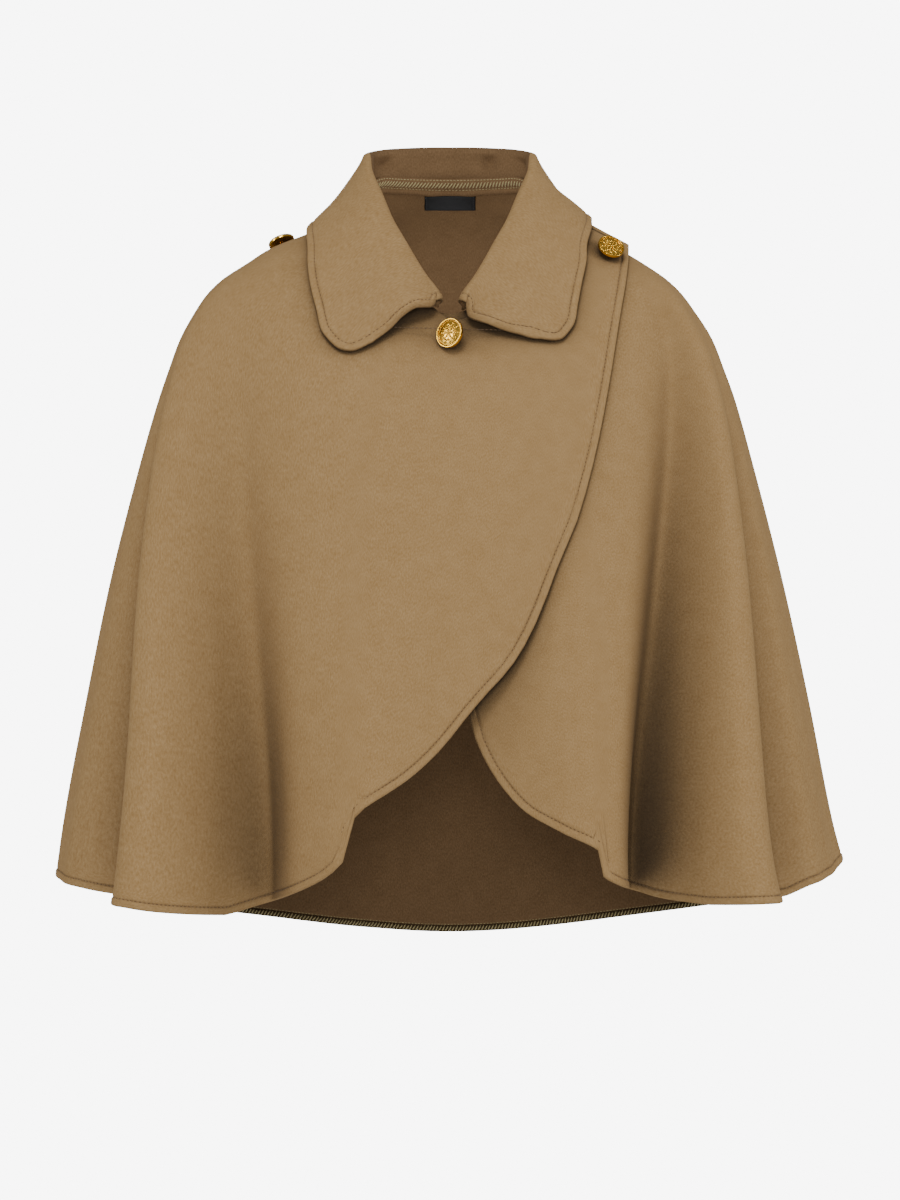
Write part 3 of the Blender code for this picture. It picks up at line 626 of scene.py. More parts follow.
def wool_melton(name, light, dark, sheen, painted_fold_shade=0.0):
    """Fulled and brushed wool: a matt felted face, its short nap lying down the cloth, faintly mottled.

    The last argument is how far it darkens deep in a fold. This darkening is painted shade, laid on where
    little open air lies round the surface.
    """
    made = bpy.data.materials.new(name)
    made.use_nodes = True
    tree = made.node_tree
    shader = tree.nodes["Principled BSDF"]
    shader.inputs["Roughness"].default_value = 0.92
    shader.inputs["Specular IOR Level"].default_value = 0.18
    shader.inputs["Sheen Weight"].default_value = sheen
    shader.inputs["Sheen Roughness"].default_value = 0.45
    shader.inputs["Sheen Tint"].default_value = linear(light)
    where = add_node(tree, "ShaderNodeTexCoord")
    flat = where.outputs["UV"]
    place = where.outputs["Object"]
    drawn = add_node(tree, "ShaderNodeMapping", {"Scale": (1.0, 0.55, 1.0)}, {"Vector": flat})
    nap = add_node(tree, "ShaderNodeTexNoise", {"Scale": 1.0 / NAP_LENGTH, "Detail": 3.0, "Roughness": 0.6},
                   {"Vector": drawn.outputs["Vector"]})
    hairs = add_node(tree, "ShaderNodeTexNoise", {"Scale": 2.6 / NAP_LENGTH, "Detail": 2.0, "Roughness": 0.7},
                     {"Vector": drawn.outputs["Vector"]})
    patch = add_node(tree, "ShaderNodeTexNoise", {"Scale": 1.0 / MOTTLE, "Detail": 3.0, "Roughness": 0.55},
                     {"Vector": place})
    both = add_node(tree, "ShaderNodeMix", {"data_type": "FLOAT", 0: 0.22},
                    {2: nap.outputs["Fac"], 3: patch.outputs["Fac"]})
    tone = add_node(tree, "ShaderNodeValToRGB", None, {"Fac": both.outputs[0]})
    tone.color_ramp.elements[0].position = 0.33
    tone.color_ramp.elements[0].color = linear(dark)
    tone.color_ramp.elements[1].position = 0.66
    tone.color_ramp.elements[1].color = linear(light)
    colour = tone.outputs["Color"]
    # Painted shade: the colour is mixed towards a dark brown where the surface is shut in, as deep in a fold
    if painted_fold_shade:
        open_to_air = add_node(tree, "ShaderNodeAmbientOcclusion", {"samples": 4, "Distance": FOLD_SHADE_REACH})
        shade = add_node(tree, "ShaderNodeMapRange", {
            "interpolation_type": "SMOOTHSTEP", "From Min": FOLD_SHADE_OPEN[0], "From Max": FOLD_SHADE_OPEN[1],
            "To Min": painted_fold_shade, "To Max": 0.0,
        }, {"Value": open_to_air.outputs["AO"]})
        shaded = add_node(tree, "ShaderNodeMix", {"data_type": "RGBA", "B": linear(PAINTED_FOLD_BROWN)},
                          {"Factor": shade.outputs["Result"], "A": colour})
        colour = shaded.outputs[2]
    tree.links.new(colour, shader.inputs["Base Color"])
    relief = add_node(tree, "ShaderNodeMath", {"operation": "ADD"},
                      {0: nap.outputs["Fac"], 1: hairs.outputs["Fac"]})
    bump = add_node(tree, "ShaderNodeBump", {"Strength": 0.4, "Distance": 0.3 * MM},
                    {"Height": relief.outputs[0]})
    tree.links.new(bump.outputs["Normal"], shader.inputs["Normal"])
    return made


# The face's wool is painted darker deep in its folds, as shade
camel_face = wool_melton("camel_wool_melton", "#b09064", "#99784c", 0.25, 0.92)
# The inside's wool is the same camel cloth, painted darker all over as shade
camel_inside_painted_shade = wool_melton("camel_wool_inside_painted_shade", "#7b6144", "#664e34", 0.12)
camel = (camel_face, camel_inside_painted_shade)
camel_thread = spun_thread("camel_sewing_thread", "#6b5235")


def right_front_surface(column, down):
    return lifted(column, down, overlap_lift(column, down))


names = column_names(SIDE_SEAM_RIGHT + 1.3, FLAP_END - 1.5, RIGHT_FRONT_MESH[0])
ends = edge_down(names, RIGHT_FRONT_EDGE, 1.0, overlap_lift, flat_zero)
tops = FLAP_TOP * eased(-8.0, 3.0, names)
down = rows_between(tops, ends, right_front_surface, names, RIGHT_FRONT_MESH[1], TOP_STEPS, EDGE_STEPS)
column, down = with_sides(names, down, SIDE_SEAM_RIGHT, 0.5 * PANEL_GAP, FLAP_END, 0.0)
right_front_rows = right_front_surface(column, down)
wall, to_edge = half_wall(right_front_rows, CLOTH, ("bottom", "last"), ("top", "first"))
right_front, right_front_face, _ = cloth_shell("right_front_cloth", right_front_rows, wall, camel)
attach(right_front, "root")
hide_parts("right_front")
row = edge_line(right_front_face, grid_normal(right_front_rows), to_edge, STITCH_IN)
right_front_stitches = sewn("right_front_stitches", [row], *TOPSTITCH, camel_thread)
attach(right_front_stitches, "root")
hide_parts("right_front")


# Wearer's left front.
# The same wool, cut to a curved corner that shows below the right front's edge. It lies under the
# right front from the neck down, and its free edge and hem are turned back and stitched.
LEFT_FRONT_EDGE = (
    (-2.0, -352.0), (6.5, -366.0), (14.4, -382.2), (19.9, -401.7), (29.3, -421.2), (39.4, -436.8),
    (58.9, -457.9), (86.2, -473.5), (118.0, -491.4), (119.0, -507.0), (133.0, -515.6), (148.6, -520.3),
    (164.2, -524.9), (208.7, -531.2), (290.0, -540.0),
)
LEFT_FRONT_START = 0.3
LEFT_FRONT_LEAN = -16.0
LEFT_FRONT_LEAN_END = 0.62
UNDER_FALL = 12.0
LEFT_FRONT_CORNER = 14.0
LEFT_FRONT_MESH = (120, 96)


def under_sink(column, down):
    """How far the left front falls back behind the right front near its own edge."""
    return UNDER_FALL * eased(0.35, 0.8, down) * (1.0 - eased(4.0, 18.0, column))


def left_front_surface(column, down):
    lean = LEFT_FRONT_LEAN * np.clip(1.0 - down / LEFT_FRONT_LEAN_END, 0.0, None)
    near_edge = np.clip((SIDE_SEAM_LEFT - column) / (SIDE_SEAM_LEFT - LEFT_FRONT_START), 0.0, 1.0)
    column = column + lean * near_edge**3
    return lifted(column, down, flat_zero(column, down), under_sink(column, down))


names = column_names(LEFT_FRONT_START + 1.3, SIDE_SEAM_LEFT - 1.3, LEFT_FRONT_MESH[0])
ends = edge_down(names, LEFT_FRONT_EDGE, -1.0, flat_zero, under_sink)
corner = names < LEFT_FRONT_CORNER
ends[corner] = np.minimum.accumulate(ends[corner][::-1])[::-1]
down = rows_between(0.0 * ends, ends, left_front_surface, names, LEFT_FRONT_MESH[1], TOP_STEPS, EDGE_STEPS)
column, down = with_sides(names, down, LEFT_FRONT_START, 0.0, SIDE_SEAM_LEFT, 0.5 * PANEL_GAP)
left_front_rows = left_front_surface(column, down)
wall, to_edge = half_wall(left_front_rows, CLOTH, ("bottom", "first"), ("top", "last"))
left_front, left_front_face, _ = cloth_shell("left_front_cloth", left_front_rows, wall, camel)
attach(left_front, "root")
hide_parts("left_front")
row = edge_line(left_front_face, grid_normal(left_front_rows), to_edge, STITCH_IN)
left_front_stitches = sewn("left_front_stitches", [row], *TOPSTITCH, camel_thread)
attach(left_front_stitches, "root")
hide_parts("left_front")


# Back.
# One wide panel of the same wool from side seam to side seam, longer than the fronts. Its hem shows
# from inside below the fronts, and its neck edge shows inside the collar.
BACK_MESH = (200, 84)
# So many rows of its inside, next to the hem, are the overlocked raw edge, painted much darker there as shade
HEM_SHADE_ROWS = 8

names = column_names(SIDE_SEAM_LEFT + 1.3, 360.0 + SIDE_SEAM_RIGHT - 1.3, BACK_MESH[0])
down = rows_between(0.0 * names, 1.0 + 0.0 * names, cape_point, names, BACK_MESH[1], TOP_STEPS, EDGE_STEPS)
column, down = with_sides(names, down, SIDE_SEAM_LEFT, 0.5 * PANEL_GAP,
                          360.0 + SIDE_SEAM_RIGHT, 0.5 * PANEL_GAP)
back_rows = cape_point(column, down)
wall, to_edge = half_wall(back_rows, CLOTH, ("bottom",), ("top", "first", "last"))
back, back_face, back_inner = cloth_shell("back_cloth", back_rows, wall, camel)
# Painted shade: the band inside by the hem, under the overlock, takes a much darker wool
hem_painted_shade = wool_melton("camel_wool_hem_painted_shade", "#4b3c26", "#382b19", 0.05)
back.data.materials.append(hem_painted_shade)
hem_faces = len(back.data.polygons) - HEM_SHADE_ROWS * (back_rows.shape[1] - 1)
for face in back.data.polygons[hem_faces:]:
    face.material_index = 2
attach(back, "root")
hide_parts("back")

# The hem's raw edge is bound by overlock on the inside: slanting strands over the edge, with a row of
# needle stitches along their heads. Outside, one row of stitching shows
OVERLOCK = 6.0
HEM_OVERLOCK = (OVERLOCK, 2.7, 1.15, (58.0, 62.0), 0.7)
HEM_NEEDLE_ROW = (2.3, 2.7, 0.6, (0.0,), 0.25)
inward = -grid_normal(back_rows)
khaki_thread = spun_thread("khaki_overlock_thread", "#b8aa7a")
strands = edge_line(back_inner, inward, to_edge, 0.47 * OVERLOCK)
heads = edge_line(back_inner, inward, to_edge, OVERLOCK + 0.4)
outside = edge_line(back_face, -inward, to_edge, STITCH_IN)
back_overlock = sewn("back_hem_overlock", [strands], *HEM_OVERLOCK, khaki_thread)
back_heads = sewn("back_hem_needle_row", [heads], *HEM_NEEDLE_ROW, khaki_thread)
back_stitches = sewn("back_stitches", [outside], *TOPSTITCH, camel_thread)
for piece in (back_overlock, back_heads, back_stitches):
    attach(piece, "root")
    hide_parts("back")

# The neck seam's allowance is pressed down inside the back: a narrow strip, overlocked along its upper
# part, with its lower edge rolled
STRIP_REACH = 61.0
# Distance down from the neck edge, half the strip's thickness, and how far in from the cloth it lies:
# its top leans out over the panel's edge to the stand
STRIP = (
    (-3.4, 0.0, -2.0), (-3.3, 0.25, -1.9), (-2.9, 0.4, -1.6), (-2.3, 0.5, -1.0), (-1.4, 0.55, 0.0),
    (-0.2, 0.6, 0.8), (1.2, 0.6, 0.9), (2.8, 0.6, 0.9), (4.4, 0.55, 0.85), (5.6, 0.45, 0.75), (6.3, 0.6, 0.9),
    (7.0, 0.95, 1.2), (8.2, 1.2, 1.45), (9.4, 1.15, 1.4), (10.4, 0.9, 1.15), (11.0, 0.5, 0.8),
    (11.2, 0.0, 0.3),
)
STRIP_COLUMNS = 90
STRANDS_ROW = 6
HEAD_ROWS = (3, 9)
NECK_OVERLOCK = (6.6, 2.7, 1.15, (58.0, 62.0), 0.4)
NECK_NEEDLE_ROW = (2.3, 2.7, 0.6, (0.0,), 0.2)


def back_inside(reach, count, fall, lift):
    """Rows of points inside the back that reach this far to each side. Each row has its fall, down from
    the neck edge, and its lift, in from the cloth.
    """
    share = np.linspace(-1.0, 1.0, count)
    grid = []
    for below, off in zip(fall, lift):
        columns = np.linspace(180.0, 330.0, 1501)
        level = 0.0 * columns
        per_down = np.linalg.norm(cape_point(columns, level + 0.03) - cape_point(columns, level), axis=-1)
        downs = np.maximum(below, 0.0) * 0.03 / per_down
        left_columns = 360.0 - columns
        right = columns[np.searchsorted(-cape_point(columns, downs)[:, 0], reach)]
        left = left_columns[np.searchsorted(cape_point(left_columns, downs)[:, 0], reach)]
        row = 180.0 + np.where(share < 0.0, 180.0 - left, right - 180.0) * share
        per_down = np.linalg.norm(cape_point(row, 0.0 * row + 0.03) - cape_point(row, 0.0 * row), axis=-1)
        down_row = np.maximum(below, 0.0) * 0.03 / per_down
        up = cape_point(row, 0.0 * row) - cape_point(row, 0.0 * row + 0.01)
        up /= np.linalg.norm(up, axis=-1, keepdims=True)
        above = up * max(-below, 0.0)
        grid.append(cape_point(row, down_row) + above - cape_normal(row, down_row) * (0.5 * CLOTH + off))
    return np.array(grid)


strip_falls, strip_half, strip_lift = np.array(STRIP).T
strip_rows = back_inside(STRIP_REACH, STRIP_COLUMNS, strip_falls, strip_lift)
strip_wall = strip_half[:, None] + 0.0 * strip_rows[..., 0]
strip, _, strip_inner = cloth_shell("neck_seam_allowance", strip_rows, strip_wall, (camel_inside_painted_shade,) * 2)
strip_inward = -grid_normal(strip_rows)
strands = (strip_inner[STRANDS_ROW], strip_inward[STRANDS_ROW])
neck_overlock = sewn("neck_seam_overlock", [strands], *NECK_OVERLOCK, khaki_thread)
neck_rows = [(strip_inner[k], strip_inward[k]) for k in HEAD_ROWS]
neck_heads = sewn("neck_seam_needle_rows", neck_rows, *NECK_NEEDLE_ROW, khaki_thread)
for piece in (strip, neck_overlock, neck_heads):
    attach(piece, "root")
    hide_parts("back")


# Label.
# A short black satin ribbon with its ends folded under, sewn flat inside the back below the neck seam
# by a few stitches at each end. It is left plain.
RIBBON = 0.6
RIBBON_GAP = 0.35
RIBBON_FALL = 11.9
RIBBON_WIDE = 14.4
RIBBON_REACH = 20.6
RIBBON_COLUMNS = 41
RIB = 0.35 * MM
LABEL_STITCH = (1.5, 2.1, 0.4, (0.0,), 0.15)

satin = bpy.data.materials.new("black_satin_ribbon")
satin.use_nodes = True
satin_tree = satin.node_tree
gloss = satin_tree.nodes["Principled BSDF"]
gloss.inputs["Base Color"].default_value = linear("#0b0c0f")
gloss.inputs["Roughness"].default_value = 0.5
gloss.inputs["Specular IOR Level"].default_value = 0.35
flat = add_node(satin_tree, "ShaderNodeTexCoord")
ribs = add_node(satin_tree, "ShaderNodeTexWave", {"bands_direction": "Y", "Scale": 0.314 / RIB},
                {"Vector": flat.outputs["UV"]})
ribbed = add_node(satin_tree, "ShaderNodeBump", {"Strength": 0.4, "Distance": 0.08 * MM},
                  {"Height": ribs.outputs["Fac"]})
satin_tree.links.new(ribbed.outputs["Normal"], gloss.inputs["Normal"])

ribbon_steps = (0.0, 0.06, 0.2, 0.6, 1.6, 0.34 * RIBBON_WIDE, 0.5 * RIBBON_WIDE)
far_steps = tuple(RIBBON_WIDE - step for step in ribbon_steps[-2::-1])
ribbon_falls = RIBBON_FALL + np.array(ribbon_steps + far_steps)
ribbon_lift = np.full(len(ribbon_falls), RIBBON_GAP + 0.5 * RIBBON)
ribbon_rows = back_inside(RIBBON_REACH, RIBBON_COLUMNS, ribbon_falls, ribbon_lift)
to_side = np.minimum(ribbon_falls - ribbon_falls[0], ribbon_falls[-1] - ribbon_falls)[:, None]
to_end = RIBBON_REACH * np.linspace(0.0, 2.0, RIBBON_COLUMNS)[None, :]
to_end = np.minimum(to_end, to_end[:, ::-1])
ribbon_half = 0.5 * RIBBON * np.sqrt(np.clip(np.minimum(to_side, to_end) / 0.35, 0.0, 1.0))
ribbon_half = ribbon_half + 0.12 * eased(3.4, 2.2, to_end) * np.minimum(1.0, to_side)
label, _, label_inner = cloth_shell("label_ribbon", ribbon_rows, ribbon_half, (satin, satin))
label_inward = -grid_normal(ribbon_rows)
end_rows = [(label_inner[1:-1, j], label_inward[1:-1, j]) for j in (1, RIBBON_COLUMNS - 2)]
black_thread = spun_thread("black_sewing_thread", "#1b1b1e")
label_stitches = sewn("label_stitches", end_rows, *LABEL_STITCH, black_thread)
for piece in (label, label_stitches):
    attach(piece, "root")
    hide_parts("label")


# Collar.
# Two layers of the wool seamed round the outside and turned, with one row of stitching by the edge.
# It stands up from the neck seam, rolls over along its fold line and falls in two rounded leaves.
COLLAR_CLOTH = 3.0
COLLAR_GAP = 0.85
# Turn round from the centre back, then the fold line's place across, back and up
COLLAR_FOLD = (
    (0.0, 0.0, 62.0, 63.0), (35.0, 43.0, 54.0, 61.5), (62.0, 61.5, 33.0, 54.0),
    (78.0, 62.0, 14.0, 41.0), (95.0, 57.5, -5.0, 23.0), (115.0, 50.0, -29.0, 0.0),
    (135.0, 37.0, -48.0, -24.0), (153.0, 23.0, -62.0, -47.0), (165.0, 12.0, -69.0, -61.0),
    (173.0, 7.5, -73.0, -66.5),
)
# Outer edge at the back: turn, angle, down; and in the front view: turn, across, height
COLLAR_BACK_EDGE = (
    (0.0, 180.0, 0.050), (30.0, 150.0, 0.052), (52.0, 128.0, 0.054), (70.0, 108.0, 0.056),
    (82.0, 92.0, 0.062),
)
COLLAR_EDGE_RIGHT = (
    (94.0, 111.0, -17.0), (106.0, 111.0, -30.0), (120.0, 108.8, -48.0), (132.0, 104.1, -67.0),
    (144.0, 98.5, -86.0), (152.0, 89.3, -96.0), (160.0, 76.0, -99.8), (173.0, 60.5, -93.6),
)
COLLAR_EDGE_LEFT = (
    (94.0, 107.0, -15.0), (106.0, 106.5, -28.0), (120.0, 103.0, -45.0), (132.0, 99.8, -62.0),
    (144.0, 95.6, -79.5), (152.0, 88.5, -88.0), (160.0, 78.0, -90.0), (173.0, 62.8, -86.0),
)
# Short front edge of each leaf in the front view: share of the way, across, height, lift off
COLLAR_END_RIGHT = (
    (0.16, 15.0, -64.5, 13.0), (0.36, 25.0, -64.5, 16.0), (0.56, 35.5, -70.0, 15.0),
    (0.76, 47.0, -81.5, 10.0),
)
COLLAR_END_LEFT = (
    (0.20, 14.0, -71.5, 10.0), (0.50, 31.0, -78.0, 12.0), (0.76, 47.0, -83.5, 9.0),
)
COLLAR_ROLL = 3.2
COLLAR_LIFT = 4.6
COLLAR_BULGE = 3.0
STAND_BOW = 1.5
# Soft creases in the stand: turn from the centre back, positive to the left, half-width, depth
STAND_CREASES = ((-43.0, 5.5, 4.2), (-32.0, 7.0, -1.2), (24.0, 5.0, 4.4), (34.0, 6.0, -1.4), (50.0, 8.0, 2.0))
LEAF_START = 0.22
LEAF_END = 0.3
LEAF_FRONT_FROM = 0.72
COLLAR_STATIONS = 220
STAND_DEPTH = 32.0
LEAF_DEPTH = 75.0
LEAF_ROWS = 44
ROLL_ROWS = 13


def cloth_seen_at(across, height, lift):
    """The column and down of the cloth that is seen at a place in the front view."""
    found = np.array([math.copysign(30.0, across), 0.2])
    for _ in range(40):
        def miss(at):
            seen = front_view(lifted(at[0], at[1], lift))
            return np.array([seen[0] - across, seen[1] - height])

        now = miss(found)
        by_column = (miss(found + (0.01, 0.0)) - now) / 0.01
        by_down = (miss(found + (0.0, 0.0001)) - now) / 0.0001
        step = np.linalg.solve(np.column_stack([by_column, by_down]), now)
        found = found - np.clip(step, (-6.0, -0.06), (6.0, 0.06))
        found[1] = np.clip(found[1], 0.0, 1.0)
    return found


def panel_lift(side, column, down):
    """How far out the cloth under one side of the collar lies."""
    if side < 0.0:
        return overlap_lift(column, down)
    return overlap_lift(np.abs(column), down) * (1.0 - eased(90.0, 112.0, np.abs(column)))


def collar_edge(side, rows):
    """The collar's outer edge on one side: angle and down, read by the turn from the back."""
    turns = [turn for turn, _, _ in COLLAR_BACK_EDGE]
    angles = [side * angle for _, angle, _ in COLLAR_BACK_EDGE]
    downs = [down for _, _, down in COLLAR_BACK_EDGE]
    for turn, across, height in rows:
        found, depth = cloth_seen_at(side * across, height, COLLAR_LIFT + (LAYER_STEP if side > 0.0 else 0.0))
        turns.append(turn)
        angles.append(float(top_angle(found)))
        downs.append(depth)
    return smooth_curve(turns, angles), smooth_curve(turns, downs)


def collar_rows(stations, stand_rows, roll_rows, fall_shares):
    """The collar's middle surface: the stand, the rolled fold, and the leaf that falls over it."""
    fold = np.array(COLLAR_FOLD)
    place = [smooth_curve(fold[:, 0], fold[:, k]) for k in (1, 2, 3)]
    last = fold[-1, 0]
    halves = []
    sides = ((-1.0, COLLAR_EDGE_RIGHT, COLLAR_END_RIGHT), (1.0, COLLAR_EDGE_LEFT, COLLAR_END_LEFT))
    for side, rows, ends in sides:
        edge_angle, edge_down_at = collar_edge(side, rows)

        def fold_point(turn):
            return np.stack([side * place[0](turn), place[1](turn), place[2](turn)], axis=-1)

        fine = np.linspace(0.0, last, 400)
        outer = cape_point(column_at_neck(edge_angle(fine)), edge_down_at(fine))
        both = np.concatenate([outer, fold_point(fine)], axis=1)
        passed = np.concatenate([[0.0], np.cumsum(np.linalg.norm(np.diff(both, axis=0), axis=1))])
        even = np.linspace(0.0, passed[-1], stations // 2 + 1 - len(EDGE_STEPS))
        front_steps = passed[-1] - 1.6 * np.array(EDGE_STEPS[::-1])
        turns = np.interp(np.concatenate([even[even < front_steps[0] - 1.0], front_steps]), passed, fine)
        neck_column = column_at_neck(side * (180.0 - turns))
        neck_down = 0.0 * turns
        neck_lift = 0.5 * CLOTH + COLLAR_GAP + (overlap_lift(neck_column, neck_down) if side < 0.0 else 0.0)
        neck = lifted(neck_column, neck_down, neck_lift)
        top = fold_point(turns)
        cover = cape_normal(neck_column, neck_down)
        lean = top - neck
        lean /= np.linalg.norm(lean, axis=-1, keepdims=True)
        along_cover = np.sum(lean * cover, axis=-1, keepdims=True)
        flatness = np.sqrt(np.maximum(1.0 - along_cover**2, 0.25))
        neck += cover * (0.5 * COLLAR_CLOTH * np.where(along_cover < 0.0, 1.0 / flatness, flatness))
        along = fold_point(turns + 0.5) - fold_point(turns - 0.5)
        along[0] = (side, 0.0, 0.0)
        up = top - neck
        up -= along * (np.sum(up * along, -1) / np.sum(along * along, -1))[:, None]
        up /= np.linalg.norm(up, axis=-1, keepdims=True)
        out = np.cross(up, along) * side
        out /= np.linalg.norm(out, axis=-1, keepdims=True)
        columns = column_at_neck(edge_angle(turns))
        downs = edge_down_at(turns)
        edge = lifted(columns, downs, COLLAR_LIFT + panel_lift(side, columns, downs))
        share = stand_rows[:, None, None]
        creased = sum(
            depth * np.exp(-(((side * turns - middle) / half) ** 2)) for middle, half, depth in STAND_CREASES
        )
        bow = STAND_BOW * np.sin(np.pi * share) + creased[None, :, None] * np.sin(np.pi * share**1.8)
        stand = neck + (top - neck) * share + out * bow
        bend = np.linspace(0.0, np.pi, roll_rows)[:, None, None]
        roll = top + COLLAR_ROLL * (out * (1.0 - np.cos(bend)) + up * np.sin(bend))
        begin = roll[-1]
        reach = np.linalg.norm(edge - begin, axis=-1, keepdims=True)
        t = fall_shares[:, None, None]
        first = begin - up * LEAF_START * reach
        cover = cape_normal(columns, downs)
        second = edge + (begin - edge) * LEAF_END + cover * COLLAR_BULGE
        fall = (1 - t) ** 3 * begin + 3 * t * (1 - t) ** 2 * first
        fall = fall + 3 * t * t * (1 - t) * second + t**3 * edge
        share_at = [0.0] + [row[0] for row in ends] + [1.0]
        drawn = [begin[-1]]
        for _, across, height, lift in ends:
            drawn.append(lifted(*cloth_seen_at(side * across, height, lift), lift))
        drawn = np.array(drawn + [edge[-1]])
        short_edge = np.stack([smooth_curve(share_at, drawn[:, k])(fall_shares) for k in range(3)], -1)
        pull = eased(LEAF_FRONT_FROM, 1.0, turns / last)[None, :, None]
        fall = fall + pull * (short_edge - fall[:, -1])[:, None, :]
        half = np.concatenate([stand, roll, fall])
        halves.append(half[:, ::-1] if side < 0.0 else half[:, 1:])
    return np.concatenate(halves, axis=1)


# The leaf's last rows lie at the edge's steps, and the stand's first ones at the seam's, each as a share
# of its depth
last_rows = 1.0 - np.array(EDGE_STEPS[::-1]) / LEAF_DEPTH
leaf_rows = np.concatenate([np.linspace(0.0, last_rows[0], LEAF_ROWS)[1:-1], last_rows])
stand_share = np.concatenate([np.array(TOP_STEPS) / STAND_DEPTH, np.linspace(0.08, 1.0, 12)[:-1]])
collar_middle = collar_rows(COLLAR_STATIONS, stand_share, ROLL_ROWS, leaf_rows)[:, ::-1]
stand_to_fold = len(stand_share) + ROLL_ROWS // 2
wall, to_edge = half_wall(collar_middle, COLLAR_CLOTH, ("bottom", "first", "last"), ("top",))
# The stand's side towards the neck, up to the fold, is painted darker as shade with the inside's wool; its
# end columns keep the face's colour
stand_ends = len(EDGE_STEPS) + 7
collar, collar_face, _ = cloth_shell("collar_cloth", collar_middle, wall, camel, stand_to_fold, stand_ends)
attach(collar, "root")
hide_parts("collar")
leaf = slice(len(stand_share) + ROLL_ROWS - 2, None)
outward = grid_normal(collar_middle)
long_row = edge_line(collar_face[leaf], outward[leaf], to_edge[leaf], STITCH_IN)
end_rows = [
    edge_line(rows.swapaxes(0, 1)[::way], facing.swapaxes(0, 1)[::way], gap.T[::way], STITCH_IN)
    for rows, facing, gap in [(collar_face[leaf], outward[leaf], to_edge[leaf])] for way in (1, -1)
]
collar_stitches = sewn("collar_stitches", [long_row, *end_rows], *TOPSTITCH, camel_thread)
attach(collar_stitches, "root")
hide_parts("collar")


# Buttons.
# Gilt brass shank buttons with a polished raised rim round a domed face. A plain rosette in low relief
# stands on the dome, and a wire loop behind is sewn to the cloth by a wrapped stem of thread.
BUTTON_BACK = 0.9
BUTTON_RIM = 3.6
RIM_WIDTH = 0.10
DOME_RINGS = ((0.03, -1.15), (0.10, 0.25), (0.16, 0.35), (0.18, 0.25), (0.20, 0.12))
# Petals of the rosette: how many, distance out, length, width, height, turn; as shares of the radius
PETALS = (
    (10, 0.60, 0.17, 0.095, 0.055, 0.0), (10, 0.45, 0.13, 0.075, 0.07, 18.0),
    (6, 0.23, 0.13, 0.085, 0.08, 0.0),
)
BEADS = 40
BEAD = 0.042
BEAD_RING = 0.815
MASTER_RADIUS = 11.5
LOOP_WIRE = 0.6
LOOP_RADIUS = 1.6
LOOP_DROP = 1.9
SHANK_RADIUS = 2.4
SHANK_TIP = 1.0
STEM_RADIUS = 1.15
STEM_TOP = 2.6
BUTTON_GAP = 0.3
# Name, radius, column and down of its seat, which way it faces, length of the shank
BUTTONS = (
    ("neck_button", 11.5, 1.9, 0.052, (-0.56, -0.80, 0.20), 7.8),
    ("left_shoulder_button", 10.5, 32.0, 0.110, (0.30, -0.74, 0.60), 4.4),
    ("right_shoulder_button", 10.5, -116.0, 0.115, (-0.32, 0.40, 0.85), 4.4),
)

gilt = bpy.data.materials.new("gilt_brass")
gilt.use_nodes = True
gilt_tree = gilt.node_tree
plate = gilt_tree.nodes["Principled BSDF"]
plate.inputs["Metallic"].default_value = 1.0
worn = add_node(gilt_tree, "ShaderNodeTexCoord")
haze = add_node(gilt_tree, "ShaderNodeTexNoise", {"Scale": 1.0 / (2.2 * MM), "Detail": 4.0},
                {"Vector": worn.outputs["Object"]})
rough = add_node(gilt_tree, "ShaderNodeMapRange", {
    "From Min": 0.3, "From Max": 0.7, "To Min": 0.14, "To Max": 0.30,
}, {"Value": haze.outputs["Fac"]})
hollow = add_node(gilt_tree, "ShaderNodeAmbientOcclusion", {"Distance": 0.9 * MM})
depth = add_node(gilt_tree, "ShaderNodeValToRGB", None, {"Fac": hollow.outputs["AO"]})
depth.color_ramp.elements[0].position = 0.35
depth.color_ramp.elements[0].color = linear("#7a4c12")
depth.color_ramp.elements[1].position = 0.85
depth.color_ramp.elements[1].color = linear("#f0bd4c")
gilt_tree.links.new(depth.outputs["Color"], plate.inputs["Base Color"])
gilt_tree.links.new(rough.outputs["Result"], plate.inputs["Roughness"])


def stretched_ball(place, size, turn, lean=0.0):
    """A ball drawn out to its three sizes, turned round the button's axis and leaned outwards."""
    bpy.ops.mesh.primitive_uv_sphere_add(segments=16, ring_count=10, radius=1.0, location=place, scale=size,
                                         rotation=(0.0, lean, turn))
    return bpy.context.object


